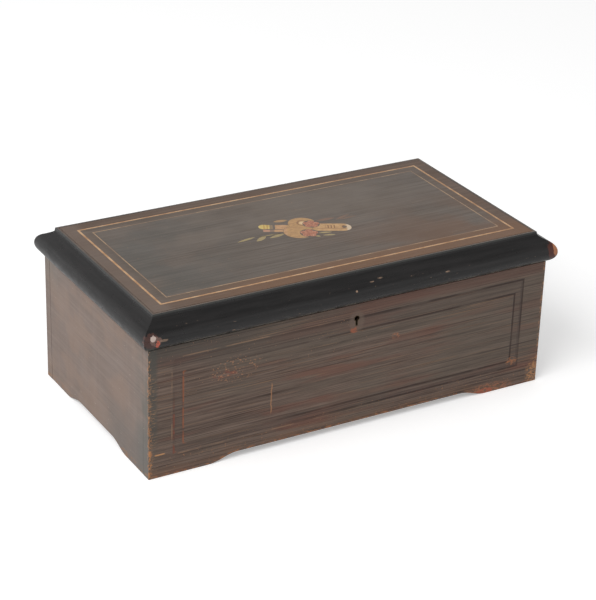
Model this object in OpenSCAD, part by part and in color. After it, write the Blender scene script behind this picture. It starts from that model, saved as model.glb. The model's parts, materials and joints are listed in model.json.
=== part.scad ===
// Wind up cylinder music box: a veneered case with an ebonised, inlaid lid over a
// spring driven pinned cylinder, a steel comb and an air-brake governor.
// Millimetres. X runs along the front, the front faces -Y, Z is up, and the case stands on Z = 0.

/* [Case] */
// Width of the case along its front
case_w = 400; // [380:1:440]
// Depth of the case from front to back
case_d = 212; // [204:1:240]
// Height of the case from the table to its rim
case_h = 122; // [118:1:140]
// Thickness of the four case panels
wall_t = 10; // [9:0.5:12]
// Thickness of the bottom board
floor_t = 10; // [6:0.5:12]
// Height of the arches between the feet
arch_h = 6; // [4:0.5:10]
// Length of each foot along the front and back
foot_w = 57; // [40:1:80]
// Length of each foot along the sides
foot_d = 45; // [35:1:60]
// Length of the curve from a foot up into its arch
foot_curve = 28; // [10:1:34]
// Thickness of the two inner partitions
partition_t = 6; // [4:0.5:8]
// Height of the partitions above the bottom board
partition_h = 88; // [84:1:90]
// Width of the winding compartment at the left
left_bay_w = 32; // [32:1:38]
// Width of the control compartment at the right
right_bay_w = 38; // [36:1:42]

/* [Lid] */
// Height of the lid above the rim
lid_h = 28; // [24:1:34]
// How far the lid stands out past the case on every side
lid_over = 7; // [4:0.5:9]
// Width of the ebonised moulding around the top panel
rim_w = 17.5; // [17:0.5:20]
// Radius of the moulding's bullnose
bull_r = 10.5; // [7:0.5:11]
// Thickness of the veneered top panel
panel_t = 14; // [10:0.5:16]
// Width of the outer boxwood string
outer_string_w = 1.9; // [1:0.1:3]
// Width of the inner boxwood string
inner_string_w = 1; // [0.6:0.1:2]
// Depth of the strings in the panel
string_t = 0.8; // [0.5:0.1:1.5]
// Distance from the panel's edge to the outer string
string_inset = 11.5; // [8:0.5:20]
// Distance from the outer string to the inner one
string_gap = 8.5; // [5:0.5:14]
// Size of the marquetry, as a factor of its drawn size
motif_scale = 1; // [0.7:0.05:1.1]
// Thickness of the marquetry veneers
veneer_t = 0.8; // [0.5:0.1:1.5]

/* [Hinges and lock] */
// Length of each lid hinge
hinge_w = 42; // [30:1:60]
// Distance from the case centre to each lid hinge
hinge_x = 120; // [90:1:140]
// Radius of a lid hinge knuckle
knuckle_r = 3; // [2.5:0.25:4]
// Radius of a lid hinge pin
pin_r = 1.3; // [1:0.1:1.6]
// Thickness of a hinge leaf
leaf_t = 1.2; // [0.8:0.1:1.6]
// Depth of a hinge leaf from the pin towards the front
leaf_d = 9; // [8:0.5:10]
// Radius of the keyhole's round part
keyhole_r = 2.75; // [2:0.25:3.5]
// Width of the keyhole's slot
keyhole_slot = 2.6; // [1.8:0.1:3]
// Length of the keyhole's slot below its centre
keyhole_drop = 7; // [5:0.5:9]
// Depth of the keyhole's centre below the rim
keyhole_depth = 14; // [12:0.5:18]
// Width of the lock
lock_w = 56; // [50:1:70]
// Height of the lock
lock_h = 30; // [28:1:40]
// Thickness of the lock from front to back
lock_t = 10; // [9:0.5:12]
// Depth of the lock's mortise in the front panel
mortise_d = 6; // [5:0.5:7]
// Travel of the lock's bolt
bolt_travel = 4; // [3:0.5:5]

/* [Glass lid] */
// Width of the glass lid's frame
glass_frame_w = 14; // [10:1:20]
// Thickness of the glass lid's frame
glass_frame_t = 8; // [6:0.5:9]
// Thickness of the glass
glass_t = 2.5; // [2:0.5:3]

/* [Bedplate and cylinder] */
// Height of the wooden rails under the bedplate
rail_h = 8; // [5:0.5:12]
// Thickness of the bedplate
bed_t = 6; // [4:0.5:8]
// Height of the cylinder's axis above the bedplate
axis_h = 36; // [35:0.5:38]
// Distance of the cylinder's axis in front of the case centre
axis_forward = -8; // [-10:0.5:-6]
// Length of the cylinder
cylinder_l = 172; // [140:1:176]
// Radius of the cylinder
cylinder_r = 21; // [18:0.5:22]
// Thickness of the cylinder's brass tube
tube_t = 1.5; // [1:0.1:3]
// Height of the tune pins above the cylinder
tune_pin_h = 1; // [0.6:0.1:1.2]
// Radius of a tune pin
tune_pin_r = 0.28; // [0.2:0.02:0.4]
// Radius of the cylinder's arbor
arbor_r = 3; // [2:0.1:4]

/* [Comb] */
// Number of comb teeth
comb_teeth = 54; // [30:1:72]
// Width of the saw cuts between the teeth
comb_slot = 0.8; // [0.5:0.1:1.2]
// Thickness of the comb's bar
comb_bar_t = 4; // [3:0.5:6]
// Thickness of the comb's teeth
comb_tooth_t = 1.6; // [1:0.1:2.5]
// Length of the longest tooth
bass_tooth_l = 46; // [36:1:50]
// Length of the shortest tooth
treble_tooth_l = 24; // [18:1:30]
// Width of the comb's bar behind the longest tooth
comb_bar_d = 16; // [14:1:18]
// Clear distance between the tune pins and the comb
comb_clear = 0.3; // [0.2:0.05:0.6]

/* [Spring barrel and winding] */
// Radius of the spring barrel
barrel_r = 27; // [22:0.5:27.5]
// Length of the spring barrel
barrel_l = 34; // [26:1:36]
// Wall of the spring barrel
barrel_wall = 2; // [1.5:0.25:3]
// Teeth of the barrel's great wheel
barrel_teeth = 64; // [60:1:64]
// Teeth of the pinion on the cylinder's arbor
drive_pinion_teeth = 12; // [10:1:14]
// Module of the great wheel and its pinion
drive_module = 0.9; // [0.8:0.05:0.9]
// Radius of the winding arbor
wind_arbor_r = 4; // [3:0.25:5]
// Number of ratchet teeth
ratchet_teeth = 20; // [12:1:30]
// Radius of the ratchet wheel
ratchet_r = 15; // [12:0.5:18]
// Length of the winding lever from its arbor to its grip
lever_l = 56; // [44:1:58]
// Angle of the resting lever above level
lever_rest = 12; // [5:1:20]

/* [Governor] */
// Teeth of the cylinder's great wheel
cylinder_wheel_teeth = 80; // [76:1:82]
// Teeth of the governor's pinions
governor_pinion_teeth = 10; // [10:1:12]
// Module of the cylinder's great wheel
cylinder_wheel_module = 0.6; // [0.56:0.02:0.62]
// Teeth of the governor's second wheel
second_wheel_teeth = 50; // [44:1:52]
// Module of the governor's second wheel
second_wheel_module = 0.5; // [0.46:0.02:0.52]
// Teeth of the wheel that drives the endless screw
screw_wheel_teeth = 30; // [26:1:32]
// Module of the screw wheel
screw_wheel_module = 0.6; // [0.56:0.02:0.62]
// Pitch radius of the endless screw
screw_r = 2.2; // [2:0.1:2.6]
// Reach of the air brake's wings
fan_r = 9.5; // [7:0.5:10]
// Height of the air brake's wings
fan_h = 10; // [6:0.5:12]

/* [Controls] */
// Height of the control levers above their pivot
control_l = 42; // [34:1:50]
// Distance between the two control levers
control_gap = 16; // [12:1:20]

/* [Hidden] */
$fn = 48;

// The cylinder's length and the inner heights are given for a case of this size, and follow
// the case when it is made wider or taller
standard_w = 400;
standard_h = 122;
extra_w = case_w - standard_w;
extra_h = case_h - standard_h;

// Clearances
run_gap = 0.05;
fit_gap = 0.02;
free_gap = 0.5;
seat_gap = 0.3;
eps = 0.01;

// Case levels and inner faces
half_w = case_w / 2;
half_d = case_d / 2;
in_x = half_w - wall_t;
in_y = half_d - wall_t;
floor_z = arch_h + floor_t;
left_wall_x = -in_x + left_bay_w + partition_t;
right_wall_x = in_x - right_bay_w - partition_t;
partition_z = floor_z + partition_h + extra_h;

// Lid
lid_x = half_w + lid_over;
lid_y = half_d + lid_over;
panel_x = lid_x - rim_w;
panel_y = lid_y - rim_w;
lid_top = case_h + lid_h;
panel_z = lid_top - panel_t;
string_x = panel_x - string_inset;
string_y = panel_y - string_inset;
inner_string_x = string_x - outer_string_w - string_gap;
inner_string_y = string_y - outer_string_w - string_gap;

// Lid hinge line, just behind the back panel
hinge_y = half_d + knuckle_r + seat_gap;
knuckles = 5;

// Lock
keyhole_z = case_h - keyhole_depth;
lock_front = -in_y - mortise_d;
lock_back = lock_front + lock_t;
lock_skin = 1.2;
staple_x = lock_w / 4;
bolt_t = 1.8;
staple_hole = bolt_t + 0.8;
staple_w = staple_hole + 1.4;
staple_t = 1.6;
staple_l = 10;
staple_y = lock_front + lock_skin + staple_w / 2 + free_gap;
bolt_h = 4;
bolt_z = case_h - lock_h / 2 - 3;
finger_z = case_h - staple_l + 2.9;
finger_h = 2.6;
riser_w = 3.5;
bolt_stud_r = 1;
bolt_stud_x = 9;
key_notch = 2.5;
staple_foot = 2;
staple_crown = 2.6;

// Glass lid
glass_z = partition_z;
glass_left = left_wall_x - partition_t + free_gap;
glass_right = right_wall_x + partition_t - free_gap;
glass_back = in_y - 3;
glass_front = lock_back + free_gap;
glass_pin_y = glass_back + 1;
glass_pin_z = glass_z + glass_frame_t + 2;
glass_knuckle_r = 1.8;
glass_hinge_w = 24;
glass_hinge_x = 90;
glass_mid = (glass_left + glass_right) / 2;

// Bedplate and the cylinder's axis
bed_z = floor_z + rail_h;
bed_top = bed_z + bed_t;
bed_left = left_wall_x + 2;
bed_right = right_wall_x - 2;
bed_front = -in_y + 10;
bed_back = in_y - 14;
axis_y = -axis_forward;
axis_z = bed_top + axis_h + extra_h * 0.4;

// Places along the cylinder's axis, from left to right
bracket_t = 5;
barrel_bracket_x = left_wall_x + 5;
barrel_x = barrel_bracket_x + bracket_t + 3;
barrel_end = barrel_x + barrel_l;
wheel_t = 3;
centre_bracket_x = barrel_end + wheel_t + 3;
cylinder_x = centre_bracket_x + bracket_t + 9;
cylinder_run = cylinder_l + extra_w;
cylinder_end = cylinder_x + cylinder_run;
great_wheel_x = cylinder_end + 4;
right_bracket_x = great_wheel_x + wheel_t + 5;
governor_x = right_bracket_x + bracket_t + 2;
plate_t = 2;
governor_w = 24;
governor_end = governor_x + plate_t + governor_w;

// Spring barrel axis
drive_distance = drive_module * (barrel_teeth + drive_pinion_teeth) / 2;
barrel_y = axis_y + drive_distance;
barrel_z = axis_z;

// Governor axes
gov_drive_distance = cylinder_wheel_module * (cylinder_wheel_teeth + governor_pinion_teeth) / 2;
gov_drive_angle = -27;
second_y = axis_y + gov_drive_distance * cos(gov_drive_angle);
second_z = axis_z + gov_drive_distance * sin(gov_drive_angle);
second_distance = second_wheel_module * (second_wheel_teeth + governor_pinion_teeth) / 2;
second_angle = -20;
screw_wheel_y = second_y + second_distance * cos(second_angle);
screw_wheel_z = second_z + second_distance * sin(second_angle);
screw_pitch_r = screw_wheel_module * screw_wheel_teeth / 2;
screw_lead = PI * screw_wheel_module;
screw_x = governor_x + plate_t + governor_w / 2;
screw_y = screw_wheel_y + screw_pitch_r + screw_r;
screw_turns = 7;
governor_h = 46;
governor_nose = 9;
governor_tail = 10;
governor_foot_t = 3;
governor_bridge = 8;
governor_top = bed_top + governor_h;
governor_front = second_y - governor_nose;
governor_back = screw_y + governor_tail;

// Comb
tip_y = axis_y - cylinder_r - tune_pin_h - comb_clear;
comb_bar_front = tip_y - bass_tooth_l - comb_bar_d;
comb_z = axis_z - comb_tooth_t;
comb_bar_z = axis_z - comb_bar_t;
comb_pitch = cylinder_run / comb_teeth;
screw_head_r = 3.6;
screw_shank_r = 2;
comb_screw_n = 5;

// Winding parts in the left compartment
lever_t = 4;
ratchet_t = 3;
ratchet_x = left_wall_x - partition_t - seat_gap - ratchet_t;
lever_x = ratchet_x - seat_gap - lever_t;
ratchet_tooth = 2;
click_t = 2.4;
click_hub_r = 4;
click_pin_r = 1.5;
click_angle = 228;
click_sweep = 32;
click_distance = ratchet_r + 11;
click_y = barrel_y + click_distance * cos(click_angle);
click_z = barrel_z + click_distance * sin(click_angle);
pawl_distance = ratchet_r + 9;
pawl_hub_r = 3;
pawl_pin_r = 1.4;
grip_l = 18;
grip_r = 5.5;

// Control levers in the right compartment
control_y = -30;
control_z = partition_z - control_l + 6;
control_r = 6;
control_t = 3;
control_base_x = right_wall_x + partition_t;
control_first_x = control_base_x + 9;
control_pin_r = 2;

// Colours
ebony = [0.06, 0.05, 0.05];
rosewood = [0.25, 0.15, 0.12];
beech = [0.55, 0.38, 0.22];
boxwood = [0.72, 0.52, 0.3];
brass = [0.75, 0.58, 0.25];
steel = [0.6, 0.6, 0.62];

// ---------------------------------------------------------------- shared shapes

// A cylinder along X from x0 to x1 through (y, z)
module rod_x(x0, x1, y, z, r) {
    translate([x0, y, z]) rotate([0, 90, 0]) cylinder(h = x1 - x0, r = r);
}

// A cuboid between two corners
module block(p0, p1) {
    translate(p0) cube(p1 - p0);
}

// Turns a flat outline drawn in (y, z) into a plate from x0 to x1
module plate_x(x0, x1) {
    translate([x0, 0, 0]) rotate([90, 0, 90]) linear_extrude(x1 - x0) children();
}

// One point of an involute of a base circle, mirrored by side
function involute(base, roll, turn, side) =
    let (a = turn + side * (roll * 180 / PI - atan(roll)))
    base * sqrt(1 + roll * roll) * [cos(a), sin(a)];

// Outline of a spur gear: involute flanks, with backlash shared by both flanks
function gear_points(teeth, mod, backlash = 0.06) =
    let (
        pitch = teeth * mod / 2,
        pressure = 25,
        base = pitch * cos(pressure),
        tip = pitch + 0.8 * mod,
        root = pitch - 1.1 * mod,
        inv_pitch = tan(pressure) * 180 / PI - pressure,
        half = 90 / teeth - backlash / pitch * 90 / PI,
        start = max(base, root),
        roll_0 = sqrt(pow(start / base, 2) - 1),
        roll_1 = sqrt(pow(tip / base, 2) - 1),
        steps = 4
    )
    [for (i = [0 : teeth - 1])
        let (mid = i * 360 / teeth)
        each concat(
            root < base ? [root * [cos(mid - half - inv_pitch), sin(mid - half - inv_pitch)]] : [],
            [for (k = [0 : steps])
                involute(base, roll_0 + (roll_1 - roll_0) * k / steps, mid - half - inv_pitch, 1)],
            [for (k = [steps : -1 : 0])
                involute(base, roll_0 + (roll_1 - roll_0) * k / steps, mid + half + inv_pitch, -1)],
            root < base ? [root * [cos(mid + half + inv_pitch), sin(mid + half + inv_pitch)]] : []
        )];

// A gear from x0 to x1 around (y, z), turned by a phase angle
module gear_x(x0, x1, y, z, teeth, mod, phase = 0) {
    plate_x(x0, x1)
        translate([y, z])
        rotate(phase)
        polygon(gear_points(teeth, mod));
}

// A ring between two rectangles, given by half sizes
module rectangle_ring(x, y, w) {
    difference() {
        square([2 * x, 2 * y], center = true);
        square([2 * (x - w), 2 * (y - w)], center = true);
    }
}

// A slotted cheese-head screw standing on z = 0 with its shank below
module cheese_screw(head_r, head_h, shank_r, length) {
    difference() {
        cylinder(h = head_h, r = head_r);
        translate([-head_r, -0.4, head_h - 0.8]) cube([2 * head_r, 0.8, 1]);
    }
    translate([0, 0, -length]) cylinder(h = length, r = shank_r);
}

// ---------------------------------------------------------------- case

// Outline of a panel with two feet and an arch. Each foot's inner end is a soft S in short flats.
module footed_outline(width, height, foot) {
    foot_x = width / 2 - foot;
    flats = 10;
    sweep = [for (k = [0 : flats]) [foot_x - foot_curve * k / flats,
                                    arch_h * (1 - cos(180 * k / flats)) / 2]];
    difference() {
        translate([-width / 2, 0]) square([width, height]);
        polygon(concat([[-foot_x, -1], [foot_x, -1]], sweep,
                       [for (k = [flats : -1 : 0]) [-sweep[k][0], sweep[k][1]]]));
    }
}

// The keyhole's outline: a round hole over a slot, grown all round by slack
module keyhole_outline(slack = 0) {
    circle(r = keyhole_r + slack);
    translate([-keyhole_slot / 2 - slack, -keyhole_drop - slack])
        square([keyhole_slot + 2 * slack, keyhole_drop + slack]);
}

module front_panel() {
    color(rosewood)
    difference() {
        translate([0, -in_y, 0]) rotate([90, 0, 0])
            linear_extrude(wall_t) footed_outline(case_w, case_h, foot_w);
        block([-lock_w / 2, lock_front, case_h - lock_h], [lock_w / 2, -in_y + 1, case_h + 1]);
        translate([0, lock_front + 1, keyhole_z]) rotate([90, 0, 0])
            linear_extrude(wall_t + 1) keyhole_outline();
    }
}

module back_panel() {
    color(rosewood)
    difference() {
        translate([0, half_d, 0]) rotate([90, 0, 0])
            linear_extrude(wall_t) footed_outline(case_w, case_h, foot_w);
        for (side = [-1, 1]) {
            block([side * hinge_x - hinge_w / 2, hinge_y - leaf_d, case_h - leaf_t],
                  [side * hinge_x + hinge_w / 2, half_d + 1, case_h + 1]);
            for (x = hinge_screw_x(side))
                translate([x, hinge_screw_y, case_h]) hinge_screw(fit_gap);
        }
    }
}

module side_panel(side) {
    color(rosewood)
    translate([side < 0 ? -half_w : in_x, 0, 0])
        rotate([90, 0, 90]) linear_extrude(wall_t) side_outline();
}

// The side panels stand between the front and back panels, so each foot is shorter by a wall
module side_outline() {
    footed_outline(2 * in_y, case_h, foot_d - wall_t);
}

module left_side_panel() side_panel(-1);

module right_side_panel() side_panel(1);

module bottom_board() {
    color(beech)
    block([-in_x, -in_y, arch_h], [in_x, in_y, floor_z]);
}

module left_partition() {
    color(rosewood)
    difference() {
        block([left_wall_x - partition_t, -in_y, floor_z], [left_wall_x, in_y, partition_z]);
        rod_x(left_wall_x - partition_t - 1, left_wall_x + 1, barrel_y, barrel_z,
              wind_arbor_r + free_gap);
        rod_x(left_wall_x - partition_t - 1, left_wall_x + 1, click_y, click_z,
              click_pin_r + fit_gap);
    }
}

module right_partition() {
    color(rosewood)
    block([right_wall_x, -in_y, floor_z], [right_wall_x + partition_t, in_y, partition_z]);
}

// ---------------------------------------------------------------- lid hinges

hinge_screw_r = 1.2;
screw_depth = 8;
hinge_screw_y = hinge_y - leaf_d + 3;
hinge_screw_head = 2.2;

// Places of a hinge's three screws
function hinge_screw_x(side) = [for (k = [-1 : 1]) side * hinge_x + k * hinge_w / 3];

// A countersunk screw pointing down from the rim; slack widens it to its own hole
module hinge_screw(slack = 0) {
    head_h = hinge_screw_head - hinge_screw_r;
    translate([0, 0, -head_h])
        cylinder(h = head_h, r1 = hinge_screw_r + slack, r2 = hinge_screw_head + slack);
    translate([0, 0, -leaf_t - screw_depth])
        cylinder(h = leaf_t + screw_depth - head_h, r = hinge_screw_r + slack);
}

// Half a hinge below the rim with its own knuckles: parity 0 takes the outer ones, 1 the inner
module hinge_leaf(side, parity, bore) {
    pitch = hinge_w / knuckles;
    x0 = side * hinge_x - hinge_w / 2;
    plate_end = hinge_y - knuckle_r - seat_gap / 2;
    difference() {
        union() {
            block([x0, hinge_y - leaf_d, case_h - leaf_t], [x0 + hinge_w, plate_end, case_h]);
            for (k = [parity : 2 : knuckles - 1])
                hinge_knuckle(x0 + k * pitch + run_gap, x0 + (k + 1) * pitch - run_gap);
        }
        rod_x(x0 - 1, x0 + hinge_w + 1, hinge_y, case_h, bore);
        for (x = hinge_screw_x(side)) translate([x, hinge_screw_y, case_h]) hinge_screw(fit_gap);
    }
}

// One knuckle with the strip that joins it to its leaf
module hinge_knuckle(x0, x1) {
    rod_x(x0, x1, hinge_y, case_h, knuckle_r);
    block([x0, hinge_y - knuckle_r - 1, case_h - leaf_t], [x1, hinge_y - pin_r, case_h]);
}

// Mirrors what is drawn below the rim to the same place above it
module above_rim() {
    translate([0, 0, 2 * case_h]) mirror([0, 0, 1]) children();
}

module case_hinge_leaves() {
    color(brass)
    for (side = [-1, 1]) hinge_leaf(side, 0, pin_r + fit_gap);
}

module lid_hinge_leaves() {
    color(brass)
    above_rim() for (side = [-1, 1]) hinge_leaf(side, 1, pin_r + run_gap);
}

module hinge_pins() {
    color(steel)
    for (side = [-1, 1])
        rod_x(side * hinge_x - hinge_w / 2, side * hinge_x + hinge_w / 2, hinge_y, case_h, pin_r);
}

module case_hinge_screws() {
    color(brass)
    for (side = [-1, 1], x = hinge_screw_x(side)) translate([x, hinge_screw_y, case_h]) hinge_screw();
}

module lid_hinge_screws() {
    color(brass)
    above_rim()
        for (side = [-1, 1], x = hinge_screw_x(side)) translate([x, hinge_screw_y, case_h]) hinge_screw();
}

// ---------------------------------------------------------------- lid

// Section of the moulding: r runs outwards from the panel's edge, z up from the rim. A narrow
// flat lip, then a slope, a little hollow, that runs out to the bullnose.
module moulding_section() {
    bull_x = rim_w - bull_r;
    rise = 22;
    groove = 0.5;
    lip = 2.6;
    arris = 0.8;
    lip_drop = 3.2;
    start = [bull_x + bull_r * sin(rise), bull_r + bull_r * cos(rise)];
    stop = [lip + arris, lid_h - lip_drop];
    slope = [for (k = [0 : 5]) let (s = k / 6)
        [start[0] + (stop[0] - start[0]) * s,
         start[1] + (stop[1] - start[1]) * (4 * s + 1 - sqrt(1 - s * s)) / 5]];
    polygon(concat([[0, 0], [bull_x, 0]], slope, [stop, [lip + arris / 2, lid_h - arris / 2],
                   [lip, lid_h], [groove, lid_h], [0, lid_h - groove]]));
    intersection() {
        translate([bull_x, bull_r]) circle(r = bull_r);
        translate([bull_x - groove, 0]) square([bull_r + groove, 2 * bull_r]);
    }
}

// A moulding along X at the front, cut to its mitres; long and deep are the lid's half sizes
module moulding(long, deep) {
    intersection() {
        translate([-long, -deep + rim_w, case_h]) rotate([90, 0, 90])
            linear_extrude(2 * long) mirror([1, 0]) moulding_section();
        translate([0, 0, case_h - 1]) linear_extrude(lid_h + 2)
            polygon([[-long, -deep], [long, -deep], [long - rim_w, -deep + rim_w],
                     [-long + rim_w, -deep + rim_w]]);
    }
}

module lid_front_moulding() {
    color(ebony)
    difference() {
        moulding(lid_x, lid_y);
        block([-strike_w / 2, strike_front, case_h - 1], [strike_w / 2, -panel_y + 1, case_h + leaf_t]);
    }
}

module lid_back_moulding() {
    color(ebony)
    difference() {
        rotate(180) moulding(lid_x, lid_y);
        for (side = [-1, 1]) {
            block([side * hinge_x - hinge_w / 2 - free_gap, hinge_y - knuckle_r - seat_gap, case_h - 1],
                  [side * hinge_x + hinge_w / 2 + free_gap, lid_y + 1, case_h + knuckle_r + free_gap]);
            block([side * hinge_x - hinge_w / 2, hinge_y - leaf_d, case_h - 1],
                  [side * hinge_x + hinge_w / 2, hinge_y, case_h + leaf_t]);
            above_rim()
                for (x = hinge_screw_x(side)) translate([x, hinge_screw_y, case_h]) hinge_screw(fit_gap);
        }
    }
}

module lid_left_moulding() {
    color(ebony) rotate(-90) moulding(lid_y, lid_x);
}

module lid_right_moulding() {
    color(ebony) rotate(90) moulding(lid_y, lid_x);
}

// The thick outer string and the thin inner one
module string_outlines() {
    rectangle_ring(string_x, string_y, outer_string_w);
    rectangle_ring(inner_string_x, inner_string_y, inner_string_w);
}

// Outlines of the marquetry, drawn flat around the panel's centre
module leaf_outline(length, width) {
    r = (length * length / 4 + width * width / 4) / width;
    intersection() {
        translate([length / 2, r - width / 2]) circle(r = r);
        translate([length / 2, width / 2 - r]) circle(r = r);
    }
}

// Each leaf: where its stalk begins, the way it points, its length and its width
leaves = [
    [-14, -1, 177, 30, 1.3], [-42, 2, 191, 21, 3.2], [-33, -1, 206, 14, 5], [-15, -3, 190, 17, 4.5],
    [2, 22, 172, 14, 5], [24, 9, -2, 20, 4.5], [42, 4, 18, 19, 3.4], [45, 3, 3, 20, 2.6],
    [7, -18, -50, 6, 3], [13, -15, -14, 13, 3.2], [14, -21, -16, 12, 3]
];

module leaves_outline(knife) {
    for (leaf = leaves)
        translate([leaf[0], leaf[1]]) rotate(leaf[2])
            translate([-knife, 0]) leaf_outline(leaf[3] + 2 * knife, leaf[4] + 2 * knife);
}

// The instruments cross at this angle: u runs along the pipes, v across them
motif_turn = -26;

// A broad pipe at the right, and the ends of two slimmer ones at the left
module pipes_outline() {
    rotate(motif_turn) {
        difference() {
            union() {
                translate([10, -3]) square([31, 16]);
                translate([41, 5]) circle(r = 8);
            }
            translate([43, 6]) circle(r = 2);
        }
        translate([-20, 0]) square([20, 9.6]);
        translate([-30, 0.7]) square([8, 8.8]);
        translate([-30, 5.1]) circle(r = 5);
        translate([-31, -5.7]) square([30, 4.6]);
    }
}

// A two-lobed body laid across the pipes; slack is the knife cut around it
module lute_outline(slack = 0) {
    rotate(motif_turn) {
        translate([5, 13]) circle(r = 13 + slack);
        translate([1, -5]) circle(r = 14 + slack);
    }
}

// Two blossoms of five petals along the body's right side
module flower_outline() {
    rotate(motif_turn)
        for (place = blossoms) translate([place[0], place[1]]) {
            for (k = [0 : 4]) rotate(72 * k + 18) translate([place[2] * 0.6, 0]) circle(r = place[2] * 0.42);
            circle(r = place[2] * 0.36);
        }
}

// Each blossom: its place along and across the pipes, and its radius
blossoms = [[13, 12, 7.5], [10, -8, 8]];

// Each veneer gives way to the pieces laid before it, with a knife cut between them. The leaves
// are so thin that their pockets are cut wider all round by knife.
leaf_knife = 0.06;
module motif(part, knife = 0) {
    scale(motif_scale)
    if (part == "flower") flower_outline();
    else if (part == "lute") difference() { lute_outline(); flower_patch(0.4); }
    else if (part == "pipes") difference() { pipes_outline(); flower_patch(0.4); lute_outline(0.3); }
    else difference() {
        leaves_outline(knife);
        flower_patch(0.4 - knife);
        lute_outline(0.3 - knife);
        pipes_patch(0.3 - knife);
    }
}

module flower_patch(slack) {
    rotate(motif_turn)
        for (place = blossoms) translate([place[0], place[1]]) circle(r = place[2] + slack);
}

module pipes_patch(slack) {
    rotate(motif_turn) {
        translate([8 - slack, -3 - slack]) square([41 + 2 * slack, 16 + 2 * slack]);
        translate([-35 - slack, -5.7 - slack]) square([39 + 2 * slack, 15.4 + 2 * slack]);
    }
}

module inlay(part) {
    translate([0, 0, lid_top - veneer_t]) linear_extrude(veneer_t) motif(part);
}

module lid_panel() {
    color(rosewood)
    difference() {
        block([-panel_x, -panel_y, panel_z], [panel_x, panel_y, lid_top]);
        translate([0, 0, lid_top - string_t]) linear_extrude(string_t + 1) string_outlines();
        translate([0, 0, lid_top - veneer_t]) linear_extrude(veneer_t + 1)
            for (part = ["flower", "pipes", "lute", "leaves"]) motif(part, leaf_knife);
        for (x = [-1, 1], y = [-1, 1])
            translate([x * card_x, y * card_y, panel_z - 1]) cylinder(h = 5, r = tack_r + fit_gap);
    }
}

module boxwood_strings() {
    color(boxwood)
    translate([0, 0, lid_top - string_t]) linear_extrude(string_t) string_outlines();
}

module marquetry_instruments() {
    color(boxwood) inlay("pipes");
    color([0.6, 0.38, 0.2]) inlay("lute");
}

module marquetry_flower() color([0.6, 0.25, 0.2]) inlay("flower");

module marquetry_leaves() color([0.5, 0.4, 0.25]) inlay("leaves");

// A plain card under the lid, held by four tacks
card_w = 180;
card_h = 110;
card_t = 0.6;
card_x = card_w / 2 - 5;
card_y = card_h / 2 - 5;
tack_r = 0.6;

module tune_card() {
    color([0.85, 0.78, 0.62])
    difference() {
        block([-card_w / 2, -card_h / 2, panel_z - card_t], [card_w / 2, card_h / 2, panel_z]);
        for (x = [-1, 1], y = [-1, 1])
            translate([x * card_x, y * card_y, panel_z - card_t - 1])
                cylinder(h = card_t + 2, r = tack_r + fit_gap);
    }
}

module tune_card_tacks() {
    color(brass)
    for (x = [-1, 1], y = [-1, 1])
        translate([x * card_x, y * card_y, panel_z - card_t]) {
            cylinder(h = card_t + 4, r = tack_r);
            translate([0, 0, -0.8]) cylinder(h = 0.8, r1 = 1.4, r2 = 2.2);
        }
}

// ---------------------------------------------------------------- lock

strike_w = lock_w - 12;
strike_front = staple_y - staple_w / 2 - 1;

// Lock case: a folded shell with its staple slots on top and the keyhole in its front
module lock_case() {
    color(brass)
    difference() {
        block([-lock_w / 2, lock_front, case_h - lock_h], [lock_w / 2, lock_front + lock_t, case_h]);
        block([-lock_w / 2 + lock_skin, lock_front + lock_skin, case_h - lock_h + lock_skin],
              [lock_w / 2 - lock_skin, lock_front + lock_t - lock_skin, case_h - lock_skin]);
        for (side = [-1, 1])
            block([side * staple_x - staple_t / 2 - free_gap, staple_y - staple_w / 2 - free_gap,
                   case_h - lock_skin - 1],
                  [side * staple_x + staple_t / 2 + free_gap, staple_y + staple_w / 2 + free_gap,
                   case_h + 1]);
        translate([0, lock_front + lock_skin + eps, keyhole_z]) rotate([90, 0, 0])
            linear_extrude(lock_skin + 1) keyhole_outline(free_gap);
    }
    color(steel) {
        lock_stud(0, keyhole_z, 1);
        for (side = [-1, 1]) lock_stud(side * bolt_stud_x, bolt_z - bolt_h / 2, bolt_stud_r);
    }
}

// A stud across the inside of the lock
module lock_stud(x, z, r) {
    translate([x, lock_back - lock_skin, z]) rotate([90, 0, 0])
        cylinder(h = lock_t - 2 * lock_skin, r = r);
}

// Bolt: a bar with two hooked fingers that slide into the staples
module lock_bolt() {
    color(steel)
    difference() {
        union() {
            bolt_bar([-staple_x - riser_x - riser_w, bolt_z - bolt_h], [staple_x, bolt_z]);
            for (x = [-staple_x, staple_x]) {
                bolt_bar([x - riser_x - riser_w, bolt_z - 1], [x - riser_x, finger_z + finger_h]);
                bolt_bar([x - riser_x - 1, finger_z], [x - staple_t / 2 - free_gap, finger_z + finger_h]);
            }
        }
        bolt_gap([-key_notch - bolt_travel, bolt_z - bolt_h - 1], [key_notch, bolt_z - bolt_h / 2]);
        for (x = [-bolt_stud_x, bolt_stud_x])
            bolt_gap([x - bolt_travel - bolt_stud_r - run_gap, bolt_z - bolt_h / 2 - bolt_stud_r - run_gap],
                     [x + bolt_stud_r + run_gap, bolt_z - bolt_h / 2 + bolt_stud_r + run_gap]);
    }
}

// The risers stay clear of the staples over the bolt's whole travel
riser_x = staple_t / 2 + bolt_travel + free_gap;

// Bar of the bolt between two corners in (x, z)
module bolt_bar(p0, p1) {
    block([p0[0], staple_y - bolt_t / 2, p0[1]], [p1[0], staple_y + bolt_t / 2, p1[1]]);
}

// Gap through the bolt between two corners in (x, z)
module bolt_gap(p0, p1) {
    block([p0[0], staple_y - bolt_t, p0[1]], [p1[0], staple_y + bolt_t, p1[1]]);
}

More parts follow.
